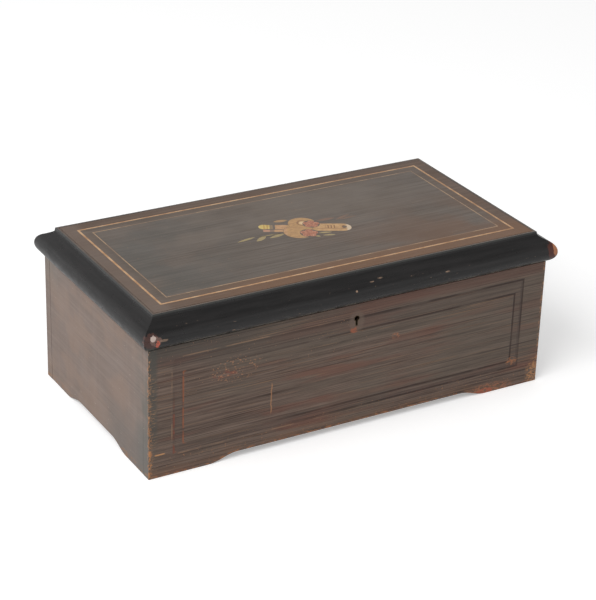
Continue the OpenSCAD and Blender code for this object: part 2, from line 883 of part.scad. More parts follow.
// Strike: a plate let into the lid with two staples below it
module lock_strike() {
    color(brass) {
        block([-strike_w / 2, strike_front, case_h], [strike_w / 2, -panel_y, case_h + leaf_t]);
        for (side = [-1, 1])
            difference() {
                block([side * staple_x - staple_t / 2, staple_y - staple_w / 2, case_h - staple_l],
                      [side * staple_x + staple_t / 2, staple_y + staple_w / 2, case_h + eps]);
                block([side * staple_x - staple_t, staple_y - staple_hole / 2,
                       case_h - staple_l + staple_foot],
                      [side * staple_x + staple_t, staple_y + staple_hole / 2, case_h - staple_crown]);
            }
    }
}

// ---------------------------------------------------------------- glass lid

module glass_lid_frame() {
    color(rosewood)
    difference() {
        block([glass_left, glass_front, glass_z], [glass_right, glass_back, glass_z + glass_frame_t]);
        block([glass_left + glass_frame_w, glass_front + glass_frame_w, glass_z - 1],
              [glass_right - glass_frame_w, glass_back - glass_frame_w, glass_z + glass_frame_t + 1]);
        glass_block();
        translate([glass_mid, glass_front + glass_frame_w / 2, glass_z + glass_frame_t - 4])
            cylinder(h = 5, r = 1.5 + fit_gap);
    }
}

// The pane, held in a groove of the frame
module glass_block() {
    groove = 4;
    z0 = glass_z + (glass_frame_t - glass_t) / 2;
    block([glass_left + glass_frame_w - groove, glass_front + glass_frame_w - groove, z0],
          [glass_right - glass_frame_w + groove, glass_back - glass_frame_w + groove, z0 + glass_t]);
}

module glass_pane() color([0.8, 0.85, 0.85, 0.35]) glass_block();

module glass_lid_knob() {
    color(brass)
    translate([glass_mid, glass_front + glass_frame_w / 2, glass_z + glass_frame_t]) {
        translate([0, 0, -4]) cylinder(h = 4, r = 1.5);
        rotate_extrude()
            polygon([[0, 0], [3.4, 0], [3.4, 0.8], [1.8, 2], [1.8, 3.4], [4, 5], [4.2, 6],
                     [3.6, 7.2], [0, 8]]);
    }
}

// Leaves on the frame with the middle knuckles
module glass_lid_hinges() {
    color(brass)
    for (side = [-1, 1])
        difference() {
            union() {
                x = glass_mid + side * glass_hinge_x;
                block([x - glass_hinge_w / 2, glass_back - 8, glass_z + glass_frame_t],
                      [x + glass_hinge_w / 2, glass_back - 2, glass_z + glass_frame_t + 0.8]);
                block([x - glass_hinge_w / 6, glass_back - 2.5, glass_z + glass_frame_t],
                      [x + glass_hinge_w / 6, glass_pin_y, glass_z + glass_frame_t + 0.8]);
                rod_x(x - glass_hinge_w / 6, x + glass_hinge_w / 6, glass_pin_y, glass_pin_z,
                      glass_knuckle_r);
            }
            rod_x(-half_w, half_w, glass_pin_y, glass_pin_z, 0.9 + run_gap);
        }
}

// Brackets on the back panel with the outer knuckles and the pin
module glass_hinge_brackets() {
    color(brass)
    for (side = [-1, 1]) {
        x = glass_mid + side * glass_hinge_x;
        rod_x(x - glass_hinge_w / 2, x + glass_hinge_w / 2, glass_pin_y, glass_pin_z, 0.9);
        for (end = [-1, 1])
            translate([x + end * glass_hinge_w / 3, 0, 0]) {
                rod_x(-glass_hinge_w / 6 + run_gap, glass_hinge_w / 6 - run_gap,
                      glass_pin_y, glass_pin_z, glass_knuckle_r);
                block([-glass_hinge_w / 6 + run_gap, glass_pin_y, glass_pin_z - 0.6],
                      [glass_hinge_w / 6 - run_gap, in_y, glass_pin_z + 0.6]);
                block([-glass_hinge_w / 6 + run_gap, in_y - 0.8, glass_pin_z - 6],
                      [glass_hinge_w / 6 - run_gap, in_y, glass_pin_z + 4]);
            }
    }
}

// ---------------------------------------------------------------- bedplate

bed_screw_head = 4.5;
bed_screw_x = bed_screw_head + 0.7;
bed_screw_y = 9;
bed_rail_half = 8;

// Places of the bedplate's four screws
function bed_screws() = [for (x = [bed_left + bed_screw_x, bed_right - bed_screw_x],
                              y = [bed_front + bed_screw_y, bed_back - bed_screw_y]) [x, y]];

module bedplate() {
    color(brass)
    difference() {
        block([bed_left, bed_front, bed_z], [bed_right, bed_back, bed_top]);
        for (p = bed_screws())
            translate([p[0], p[1], bed_z - 1]) cylinder(h = bed_t + 2, r = screw_shank_r + fit_gap);
    }
}

module bedplate_rails() {
    color(beech)
    for (y = [bed_front + bed_screw_y, bed_back - bed_screw_y])
        difference() {
            block([bed_left, y - bed_rail_half, floor_z], [bed_right, y + bed_rail_half, bed_z]);
            for (p = bed_screws())
                translate([p[0], p[1], floor_z - 1])
                    cylinder(h = rail_h + 2, r = screw_shank_r + fit_gap);
        }
}

module bedplate_screws() {
    color(steel)
    for (p = bed_screws())
        translate([p[0], p[1], bed_top])
            cheese_screw(bed_screw_head, bed_screw_head / 1.5, screw_shank_r, bed_t + rail_h - 1);
}

// A bearing plate standing on the bedplate with a foot along Y
module bracket(x, y0, y1, top) {
    block([x, y0, bed_top], [x + bracket_t, y1, top]);
    block([x - 2, y0, bed_top], [x + bracket_t + 2, y1, bed_top + 4]);
}

// Three brackets: one left of the barrel, one shared by barrel and cylinder, one at the right
module bearing_brackets() {
    ear = 9;
    color(brass)
    difference() {
        union() {
            bracket(barrel_bracket_x, barrel_y - ear, barrel_y + ear, barrel_z);
            rod_x(barrel_bracket_x, barrel_bracket_x + bracket_t, barrel_y, barrel_z, ear);
            bracket(centre_bracket_x, axis_y - ear, barrel_y + ear, axis_z);
            rod_x(centre_bracket_x, centre_bracket_x + bracket_t, axis_y, axis_z, ear);
            rod_x(centre_bracket_x, centre_bracket_x + bracket_t, barrel_y, barrel_z, ear);
            bracket(right_bracket_x, axis_y - ear, axis_y + ear, axis_z);
            rod_x(right_bracket_x, right_bracket_x + bracket_t, axis_y, axis_z, ear);
        }
        rod_x(barrel_bracket_x - 1, centre_bracket_x + bracket_t + 1, barrel_y, barrel_z,
              wind_arbor_r + run_gap);
        rod_x(centre_bracket_x - 1, right_bracket_x + bracket_t + 1, axis_y, axis_z,
              arbor_r + run_gap);
    }
}

// ---------------------------------------------------------------- cylinder

cap_t = 3;

module cylinder_tube() {
    color(brass)
    difference() {
        rod_x(cylinder_x, cylinder_end, axis_y, axis_z, cylinder_r);
        rod_x(cylinder_x - 1, cylinder_end + 1, axis_y, axis_z, cylinder_r - tube_t);
    }
}

// The arbor with the drive pinion cut at its left end and the two caps that carry the tube
module cylinder_arbor() {
    color(steel) {
        rod_x(barrel_end + 0.5, right_bracket_x + bracket_t + 1, axis_y, axis_z, arbor_r);
        gear_x(barrel_end + 0.5, centre_bracket_x - 0.5, axis_y, axis_z, drive_pinion_teeth,
               drive_module, drive_phase);
        for (x = [cylinder_x + 1, cylinder_end - 1 - cap_t])
            rod_x(x, x + cap_t, axis_y, axis_z, cylinder_r - tube_t - fit_gap);
        rod_x(cylinder_end - 1, great_wheel_x, axis_y, axis_z, arbor_r + 4);
    }
}

// A space of the pinion faces the great wheel
drive_phase = 180 / drive_pinion_teeth;

module cylinder_great_wheel() {
    color(brass)
    difference() {
        gear_x(great_wheel_x, great_wheel_x + wheel_t, axis_y, axis_z, cylinder_wheel_teeth,
               cylinder_wheel_module, gov_drive_angle);
        rod_x(great_wheel_x - 1, great_wheel_x + wheel_t + 1, axis_y, axis_z, arbor_r + fit_gap);
        for (k = [0 : 4])
            translate([0, axis_y, axis_z]) rotate([72 * k, 0, 0])
                rod_x(great_wheel_x - 1, great_wheel_x + wheel_t + 1, 0, 13.5, 5);
    }
}

// One tune pin per tooth at an angle that steps round like a scale with chords, so that no
// pin meets the comb's tips at rest
pin_rows = 3;
function pin_angle(k, row) = (40 + (k * 47 + row * 113 + (k % 5) * 11) % 290);

module tune_pins() {
    color(steel)
    for (k = [0 : comb_teeth - 1], row = [0 : pin_rows - 1])
        translate([cylinder_x + (k + 0.5) * comb_pitch, axis_y, axis_z])
            rotate([pin_angle(k, row), 0, 0])
            translate([0, -cylinder_r + 0.6, 0])
            rotate([90, 0, 0])
            cylinder(h = tune_pin_h + 0.6, r = tune_pin_r);
}

// ---------------------------------------------------------------- comb

// Outline of the comb seen from above: the root line runs slantwise from bass to treble
module comb_plan(front, back_bass, back_treble) {
    polygon([[cylinder_x, front], [cylinder_end, front], [cylinder_end, back_treble],
             [cylinder_x, back_bass]]);
}

// Places of the comb's screws
function comb_screw_at(k) =
    [cylinder_x + cylinder_run * (k + 0.5) / comb_screw_n, comb_bar_front + comb_bar_d / 2 + 1];

module comb() {
    color(steel)
    difference() {
        union() {
            translate([0, 0, comb_bar_z]) linear_extrude(comb_bar_t)
                comb_plan(comb_bar_front, tip_y - bass_tooth_l, tip_y - treble_tooth_l);
            translate([0, 0, comb_z]) linear_extrude(comb_tooth_t)
                comb_plan(comb_bar_front + 1, tip_y, tip_y);
        }
        translate([0, 0, comb_bar_z - 1]) linear_extrude(comb_bar_t + 2)
            for (k = [1 : comb_teeth - 1]) {
                x = cylinder_x + k * comb_pitch;
                root = tip_y - bass_tooth_l + (bass_tooth_l - treble_tooth_l) * k / comb_teeth;
                translate([x - comb_slot / 2, root]) square([comb_slot, tip_y + 1 - root]);
            }
        for (k = [0 : comb_screw_n - 1])
            translate([comb_screw_at(k)[0], comb_screw_at(k)[1], comb_bar_z - 1])
                cylinder(h = comb_bar_t + 2, r = screw_shank_r + fit_gap);
    }
}

// Lead weights under the bass teeth, one to a tooth
weight_n = 18;
module bass_weights() {
    color([0.35, 0.35, 0.37])
    for (k = [0 : weight_n - 1])
        block([cylinder_x + (k + 0.25) * comb_pitch, tip_y - 10 + k * 0.3, comb_z - 5 + k * 0.2],
              [cylinder_x + (k + 0.75) * comb_pitch, tip_y - 3.5, comb_z]);
}

module comb_base() {
    color(brass)
    difference() {
        union() {
            translate([0, 0, comb_bar_z - 5]) linear_extrude(5)
                comb_plan(comb_bar_front, tip_y - bass_tooth_l - 2, tip_y - treble_tooth_l - 2);
            block([cylinder_x, comb_bar_front, bed_top],
                  [cylinder_end, comb_bar_front + comb_bar_d - 5, comb_bar_z - 4]);
            block([cylinder_x, comb_bar_front, bed_top],
                  [cylinder_end, comb_bar_front + comb_bar_d + 8, bed_top + 5]);
        }
        for (k = [0 : comb_screw_n - 1])
            translate([comb_screw_at(k)[0], comb_screw_at(k)[1], comb_bar_z - 12])
                cylinder(h = 14, r = screw_shank_r + fit_gap);
    }
}

module comb_screws() {
    color([0.2, 0.25, 0.4])
    for (k = [0 : comb_screw_n - 1])
        translate([comb_screw_at(k)[0], comb_screw_at(k)[1], comb_bar_z + comb_bar_t])
            cheese_screw(screw_head_r, 2.6, screw_shank_r, comb_bar_t + 10);
}

// ---------------------------------------------------------------- spring barrel

hub_r = 8;

module spring_barrel() {
    color(brass)
    difference() {
        rod_x(barrel_x, barrel_end, barrel_y, barrel_z, barrel_r);
        rod_x(barrel_x + barrel_wall, barrel_end - barrel_wall, barrel_y, barrel_z,
              barrel_r - barrel_wall);
        rod_x(barrel_x - 1, barrel_end + 1, barrel_y, barrel_z, wind_arbor_r + run_gap);
    }
}

module barrel_great_wheel() {
    color(brass)
    difference() {
        gear_x(barrel_end, barrel_end + wheel_t, barrel_y, barrel_z, barrel_teeth, drive_module,
               180 / barrel_teeth * (barrel_teeth % 2 == 0 ? 0 : 1));
        rod_x(barrel_end - 1, barrel_end + wheel_t + 1, barrel_y, barrel_z, wind_arbor_r + run_gap);
    }
}

// A spiral strip wound from the hub out to the barrel's wall
spring_turns = 9;
spring_steps = 20;
spring_t = 0.9;
function spring_point(i, grow) =
    let (
        n = spring_turns * spring_steps,
        r0 = hub_r + 0.4,
        r1 = barrel_r - barrel_wall - 0.4 - spring_t,
        a = i * 360 / spring_steps
    )
    (r0 + (r1 - r0) * i / n + grow) * [cos(a), sin(a)];

module mainspring() {
    n = spring_turns * spring_steps;
    color([0.3, 0.32, 0.4])
    plate_x(barrel_x + barrel_wall + free_gap, barrel_end - barrel_wall - free_gap)
        translate([barrel_y, barrel_z])
        polygon(concat([for (i = [0 : n]) spring_point(i, 0)],
                       [for (i = [n : -1 : 0]) spring_point(i, spring_t)]));
}

// The arbor runs through the partition, and its hub holds the spring's inner end
module winding_arbor() {
    color(steel) {
        rod_x(lever_x - 5, centre_bracket_x + bracket_t - 0.5, barrel_y, barrel_z, wind_arbor_r);
        rod_x(barrel_x + barrel_wall + free_gap, barrel_end - barrel_wall - free_gap,
              barrel_y, barrel_z, hub_r);
    }
}

module ratchet_wheel() {
    color(brass)
    difference() {
        plate_x(ratchet_x, ratchet_x + ratchet_t)
            translate([barrel_y, barrel_z])
            polygon([for (k = [0 : ratchet_teeth - 1], e = [0, 1])
                let (a = (k + e * 0.88) * 360 / ratchet_teeth)
                (e == 0 ? ratchet_r - ratchet_tooth : ratchet_r) * [cos(a), sin(a)]]);
        rod_x(ratchet_x - 1, ratchet_x + ratchet_t + 1, barrel_y, barrel_z, wind_arbor_r + fit_gap);
    }
}

// The lever swings up from its rest, its arm pointing to the front
module winding_lever() {
    color(steel)
    difference() {
        translate([0, barrel_y, barrel_z]) rotate([-lever_rest, 0, 0]) {
            plate_x(lever_x, lever_x + lever_t)
                polygon([[9, -6], [9, 6], [0, 9], [-lever_l, 4.5], [-lever_l - 6, 0],
                         [-lever_l, -4.5], [0, -9]]);
        }
        rod_x(lever_x - 1, lever_x + lever_t + 1, barrel_y, barrel_z, wind_arbor_r + run_gap);
        lever_hole(-lever_l, grip_pin_r + fit_gap);
        lever_hole(-pawl_distance, pawl_pin_r + run_gap);
    }
}

grip_pin_r = 1.6;

// A hole through the lever at a distance from its arbor
module lever_hole(y, r) {
    translate([0, barrel_y, barrel_z]) rotate([-lever_rest, 0, 0])
        rod_x(lever_x - 1, lever_x + lever_t + 1, y, 0, r);
}

module lever_grip() {
    color([0.1, 0.08, 0.07])
    translate([0, barrel_y, barrel_z]) rotate([-lever_rest, 0, 0]) {
        rod_x(lever_x - 0.5, lever_x + lever_t, -lever_l, 0, grip_pin_r);
        translate([lever_x, -lever_l, 0]) rotate([0, -90, 0])
            rotate_extrude()
            polygon([[0, 0], [3.6, 0], [3.6, 1.2], [2.8, 2.5], [4, grip_l * 0.4], [grip_r, grip_l * 0.75],
                     [grip_r * 0.9, grip_l * 0.92], [grip_r * 0.5, grip_l], [0, grip_l]]);
    }
}

// The pawl turns on a stud through the lever, and its nose stands behind a ratchet tooth
module drive_pawl() {
    pitch = 360 / ratchet_teeth;
    tooth = floor((180 - lever_rest - 20) / pitch) * pitch;
    nose_r = ratchet_r - ratchet_tooth + seat_gap * 2;
    nose_a = tooth + seat_gap / nose_r * 180 / PI;
    stud = pawl_distance * [cos(180 - lever_rest), sin(180 - lever_rest)];
    nose = nose_r * [cos(nose_a), sin(nose_a)];
    along = (nose - stud) / norm(nose - stud);
    across = [-along[1], along[0]] * pawl_hub_r * 0.9;
    color(steel)
    translate([0, barrel_y, barrel_z]) {
        plate_x(ratchet_x + seat_gap, ratchet_x + seat_gap + click_t) {
            translate(stud) circle(r = pawl_hub_r);
            polygon([nose, stud - across, stud + across, nose * (nose_r + 2.6) / nose_r]);
        }
        rod_x(lever_x, ratchet_x + seat_gap, stud[0], stud[1], pawl_pin_r);
    }
}

// The click turns on its stud in the partition and reaches up to the crests of the ratchet
module winding_click() {
    tip_angle = click_angle - click_sweep;
    tip_r = ratchet_r + seat_gap;
    tip = [barrel_y + tip_r * cos(tip_angle), barrel_z + tip_r * sin(tip_angle)];
    arm = tip - [click_y, click_z];
    reach = norm(arm);
    color(steel) {
        rod_x(ratchet_x, left_wall_x - 1, click_y, click_z, click_pin_r);
        plate_x(ratchet_x + seat_gap, ratchet_x + seat_gap + click_t)
            translate([click_y, click_z]) rotate(atan2(arm[1], arm[0])) {
                circle(r = click_hub_r);
                polygon([[0, click_hub_r * 0.8], [reach, 1.4], [reach, 0], [0, -click_hub_r * 0.8]]);
            }
    }
}

// ---------------------------------------------------------------- governor

gov_pivot_r = 1;

module governor_frame() {
    color(brass)
    difference() {
        union() {
            for (x = [governor_x, governor_end])
                block([x, governor_front, bed_top], [x + plate_t, governor_back, governor_top]);
            block([governor_x, governor_front, bed_top],
                  [governor_end + plate_t, governor_back, bed_top + governor_foot_t]);
            block([governor_x, screw_y - governor_bridge / 2, governor_top - governor_foot_t],
                  [governor_end + plate_t, screw_y + governor_bridge / 2, governor_top]);
        }
        for (p = [[second_y, second_z], [screw_wheel_y, screw_wheel_z]])
            rod_x(governor_x - 1, governor_end + plate_t + 1, p[0], p[1], gov_pivot_r + run_gap);
        translate([screw_x, screw_y, bed_top + 1])
            cylinder(h = governor_top - bed_top, r = gov_pivot_r + run_gap);
    }
}

second_wheel_x = governor_x + plate_t + 3;

// Second wheel: its arbor reaches out to the cylinder's great wheel with the first pinion
module second_wheel() {
    phase = gov_mesh_phase;
    color(brass) {
        gear_x(great_wheel_x - 0.5, great_wheel_x + wheel_t + 0.5, second_y, second_z,
               governor_pinion_teeth, cylinder_wheel_module, phase);
        rod_x(great_wheel_x - 0.5, governor_end + plate_t, second_y, second_z, gov_pivot_r);
        rod_x(governor_x + plate_t + 0.4, governor_end - 0.4, second_y, second_z, 1.6);
        gear_x(second_wheel_x, second_wheel_x + 1.5, second_y, second_z, second_wheel_teeth,
               second_wheel_module, second_angle);
    }
}

// A space of the pinion faces the great wheel's tooth along the line of centres
gov_mesh_phase = gov_drive_angle + 180 + 180 / governor_pinion_teeth;
second_mesh_phase = second_angle + 180 + 180 / governor_pinion_teeth;

module screw_wheel() {
    color(brass) {
        gear_x(second_wheel_x - 0.5, second_wheel_x + 2, screw_wheel_y, screw_wheel_z,
               governor_pinion_teeth, second_wheel_module, second_mesh_phase);
        rod_x(governor_x, governor_end + plate_t, screw_wheel_y, screw_wheel_z, gov_pivot_r);
        rod_x(governor_x + plate_t + 0.4, governor_end - 0.4, screw_wheel_y, screw_wheel_z, 1.5);
        gear_x(screw_x - 0.6, screw_x + 0.6, screw_wheel_y, screw_wheel_z, screw_wheel_teeth,
               screw_wheel_module);
    }
}

// Thread of the endless screw: a ridge of four-sided section swept along a helix
thread_steps = 16;
thread_h = 0.55;
function thread_ring(i) =
    let (
        a = i * 360 / thread_steps,
        z = screw_wheel_z + screw_lead * (i / thread_steps - screw_turns / 2 + 0.5),
        core = screw_r - thread_h - 0.15,
        crest = screw_r + thread_h
    )
    [for (p = [[core, -0.55], [crest, -0.12], [crest, 0.12], [core, 0.55]])
        [p[0] * cos(a), p[0] * sin(a), z + p[1] * screw_wheel_module / 0.6]];

module screw_thread() {
    n = screw_turns * thread_steps;
    points = [for (i = [0 : n]) each thread_ring(i)];
    sides = [for (i = [0 : n - 1], k = [0 : 3])
        let (a = i * 4 + k, b = i * 4 + (k + 1) % 4)
        each [[a, b, b + 4], [a, b + 4, a + 4]]];
    polyhedron(points, concat([[0, 3, 2], [0, 2, 1]], sides, [[n * 4, n * 4 + 1, n * 4 + 2],
               [n * 4, n * 4 + 2, n * 4 + 3]]));
}

module endless_screw() {
    color(steel)
    translate([screw_x, screw_y, 0]) {
        translate([0, 0, bed_top + 1.2]) cylinder(h = governor_top - bed_top - 1.2, r = gov_pivot_r);
        translate([0, 0, bed_top + 3.4]) cylinder(h = governor_top - bed_top - 6.8, r = screw_core_r);
        rotate(90) screw_thread();
    }
}

screw_core_r = screw_r - thread_h;
fan_z = governor_top - 5 - fan_h;

module air_brake() {
    wing_t = 0.5;
    color(brass)
    translate([screw_x, screw_y, fan_z])
        difference() {
            union() {
                cylinder(h = fan_h, r = screw_core_r + 1);
                translate([-fan_r, -wing_t / 2, 0]) cube([2 * fan_r, wing_t, fan_h]);
            }
            translate([0, 0, -1]) cylinder(h = fan_h + 2, r = screw_core_r + fit_gap);
        }
}

// ---------------------------------------------------------------- controls

// A brass plate on the partition with a pivot pin for both levers
module control_bracket() {
    color(brass) {
        block([control_base_x, control_y - 12, control_z - 12],
              [control_base_x + 3, control_y + 12, control_z + 12]);
        rod_x(control_base_x + 3, control_first_x + control_gap + control_t + 3, control_y, control_z,
              control_pin_r);
        rod_x(control_base_x + 3, control_first_x - seat_gap, control_y, control_z, control_r - 1);
        rod_x(control_first_x + control_t + seat_gap, control_first_x + control_gap - seat_gap,
              control_y, control_z, control_r - 1);
    }
}

// One lever: a hub, an arm that tapers upwards and a ball on top
module control_lever(x) {
    difference() {
        union() {
            rod_x(x, x + control_t, control_y, control_z, control_r);
            plate_x(x, x + control_t)
                polygon([[control_y - 4, control_z], [control_y + 4, control_z],
                         [control_y + 2.2, control_z + control_l],
                         [control_y - 2.2, control_z + control_l]]);
            translate([x + control_t / 2, control_y, control_z + control_l]) sphere(r = 4.5);
        }
        rod_x(x - 1, x + control_t + 1, control_y, control_z, control_pin_r + run_gap);
    }
}

module start_lever() color(steel) control_lever(control_first_x);

module change_lever() color(steel) control_lever(control_first_x + control_gap);

front_panel();
back_panel();
left_side_panel();
right_side_panel();
bottom_board();
left_partition();
right_partition();
lock_case();
lock_bolt();
case_hinge_leaves();
case_hinge_screws();
hinge_pins();
lid_hinge_leaves();
lid_hinge_screws();
lid_panel();
lid_front_moulding();
lid_back_moulding();
lid_left_moulding();
lid_right_moulding();
boxwood_strings();
marquetry_instruments();
marquetry_flower();
marquetry_leaves();
tune_card();
tune_card_tacks();
lock_strike();
glass_lid_frame();
glass_pane();
glass_lid_knob();
glass_lid_hinges();
glass_hinge_brackets();
bedplate();
bedplate_rails();
bedplate_screws();
bearing_brackets();
cylinder_tube();
tune_pins();
cylinder_arbor();
cylinder_great_wheel();
comb_base();
comb();
comb_screws();
bass_weights();
spring_barrel();
mainspring();
barrel_great_wheel();
winding_arbor();
ratchet_wheel();
winding_lever();
lever_grip();
drive_pawl();
winding_click();
governor_frame();
second_wheel();
screw_wheel();
endless_screw();
air_brake();
control_bracket();
start_lever();
change_lever();
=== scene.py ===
# %% [markdown]
# # A wind up music box
# This lesson dresses a cylinder music box: a footed case in dark grained veneer, a lid with an
# ebonised moulding, boxwood strings and a small marquetry trophy, and under the glass lid a
# brass bedplate with its cylinder, steel comb, spring barrel and governor.
# The solids come from the construction model, so every measure is already right. Blender adds
# what a drawing can't say: the woods and metals, the softened edges and a long life's wear.

# %% Load the solids
import json
import math

import bmesh
import bpy
from mathutils import Matrix, Vector

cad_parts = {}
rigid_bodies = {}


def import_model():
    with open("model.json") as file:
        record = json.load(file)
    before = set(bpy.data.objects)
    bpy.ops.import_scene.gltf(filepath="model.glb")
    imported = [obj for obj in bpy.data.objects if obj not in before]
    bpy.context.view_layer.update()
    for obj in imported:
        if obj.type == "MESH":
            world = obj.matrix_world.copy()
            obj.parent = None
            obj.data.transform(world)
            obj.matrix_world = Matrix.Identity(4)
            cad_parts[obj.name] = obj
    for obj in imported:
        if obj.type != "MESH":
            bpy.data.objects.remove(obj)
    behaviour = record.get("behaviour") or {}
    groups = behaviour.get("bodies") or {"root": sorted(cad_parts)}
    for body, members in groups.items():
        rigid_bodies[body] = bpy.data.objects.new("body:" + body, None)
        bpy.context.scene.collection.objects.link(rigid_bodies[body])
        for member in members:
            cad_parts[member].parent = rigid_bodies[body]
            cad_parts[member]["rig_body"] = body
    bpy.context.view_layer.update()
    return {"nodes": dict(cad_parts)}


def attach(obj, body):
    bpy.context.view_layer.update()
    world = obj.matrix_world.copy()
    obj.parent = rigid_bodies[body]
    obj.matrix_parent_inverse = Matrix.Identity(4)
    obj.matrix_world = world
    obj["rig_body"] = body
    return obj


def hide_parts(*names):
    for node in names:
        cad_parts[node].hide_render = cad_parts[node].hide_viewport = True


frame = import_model()
nodes = frame["nodes"]

# %% [markdown]
# ## Camera
# A long lens keeps the box's edges almost parallel, as a studio picture does. The camera could
# be aimed by eye, but its three axes are written down here: right, up, and back from the box.
# They hold a small roll too, which no aim at a target would give.

# %% Set up the camera
LENS = 119.802
camera_place = Vector((-0.83117658, -1.41144831, 0.87261058))
camera_axes = [
    Vector((0.86777931, -0.49606036, 0.02971861)),
    Vector((0.1931061, 0.39170297, 0.89959925)),
    Vector((-0.45789639, -0.77491477, 0.43570402)),
]
camera_data = bpy.data.cameras.new("camera")
camera_data.lens = LENS
camera = bpy.data.objects.new("camera", camera_data)
camera.matrix_world = Matrix.Translation(camera_place) @ Matrix(camera_axes).transposed().to_4x4()
bpy.context.scene.collection.objects.link(camera)
bpy.context.scene.camera = camera
bpy.context.scene.view_settings.view_transform = "Standard"
print("camera", round(camera_place.length, 2), "m from the centre of the table")

# %% [markdown]
# ## Studio
# The box stands on a white sweep in soft light from the upper left. The white could come from
# strong lamps, but these would bleach the wood. So the world is white only for the camera, and
# lights the box at a plain level. Reflections see white near the ground and a dimmer ceiling, as
# in a real studio, which is what draws the light lines along a polished moulding. The floor is
# pale paper with a faint glow that only the camera sees, so it still takes the box's shadow.

# %% World, lamp and floor
SKY_LIGHT = 0.5
SKY_MIRRORED = (1.0, 0.4)       # strength in reflections, near the ground and overhead
MIRRORED_HEIGHTS = (0.1, 0.65)  # upward parts of the direction between which it changes
LAMP_PLACE, LAMP_SIZE, LAMP_POWER = (-2.2, -0.9, 2.5), (2.4, 1.8), 78
BOX_MIDDLE = Vector((0, 0, 0.07))
world = bpy.data.worlds.new("studio")
world.use_nodes = True
bpy.context.scene.world = world


def sky_node(kind, *inputs, **settings):
    """A node of the world, with its inputs linked or set in order."""
    made = world.node_tree.nodes.new(kind)
    for key, value in settings.items():
        setattr(made, key, value)
    for socket, value in zip(made.inputs, inputs):
        if isinstance(value, bpy.types.NodeSocket):
            world.node_tree.links.new(value, socket)
        else:
            socket.default_value = value
    return made


rays = sky_node("ShaderNodeLightPath").outputs
direction = sky_node("ShaderNodeTexCoord").outputs["Generated"]
height = sky_node("ShaderNodeSeparateXYZ", direction).outputs["Z"]
mirrored = sky_node("ShaderNodeMapRange", height, *MIRRORED_HEIGHTS, *SKY_MIRRORED).outputs[0]
bounced = sky_node("ShaderNodeMath", rays["Is Glossy Ray"], rays["Is Transmission Ray"],
                   operation="MAXIMUM").outputs[0]
lights = sky_node("ShaderNodeMapRange", bounced, 0.0, 1.0, SKY_LIGHT, mirrored).outputs[0]
seen = sky_node("ShaderNodeMapRange", rays["Is Camera Ray"], 0.0, 1.0, lights, 1.0).outputs[0]
sky = world.node_tree.nodes["Background"]
sky.inputs["Color"].default_value = (1, 1, 1, 1)
world.node_tree.links.new(seen, sky.inputs["Strength"])


def soft_lamp(name, place, size, power):
    """A rectangular lamp that points at the middle of the box."""
    data = bpy.data.lights.new(name, "AREA")
    data.shape = "RECTANGLE"
    data.size, data.size_y = size
    data.energy = power
    lamp = bpy.data.objects.new(name, data)
    lamp.location = place
    aim = BOX_MIDDLE - Vector(place)
    lamp.rotation_euler = aim.to_track_quat("-Z", "Y").to_euler()
    bpy.context.scene.collection.objects.link(lamp)
    return lamp


soft_lamp("window_lamp", LAMP_PLACE, LAMP_SIZE, LAMP_POWER)
print("one soft lamp and a white world")

# %% [markdown]
# ## A small workshop for finishes
# Each finish is a Principled shader fed by a few textures. Wired by hand, that is a page of
# node calls for every wood. The class below gives them short names in a polisher's words:
# marks for grain and blotches, near for a line, shade for a range of tones, relief for the
# surface. It measures in millimetres from the middle of the case, so a scratch at x = -83 is
# 83 mm left of the keyhole, and it stays on its piece when the piece moves.

# %% The finish helper
MM_PER_METRE = 1000


def rgb(code):
    """Turns a hex colour into the linear numbers that a shader wants."""
    parts = [int(code[k:k + 2], 16) / 255 for k in (0, 2, 4)]
    linear = [p / 12.92 if p <= 0.04045 else ((p + 0.055) / 1.055) ** 2.4 for p in parts]
    return (*linear, 1)


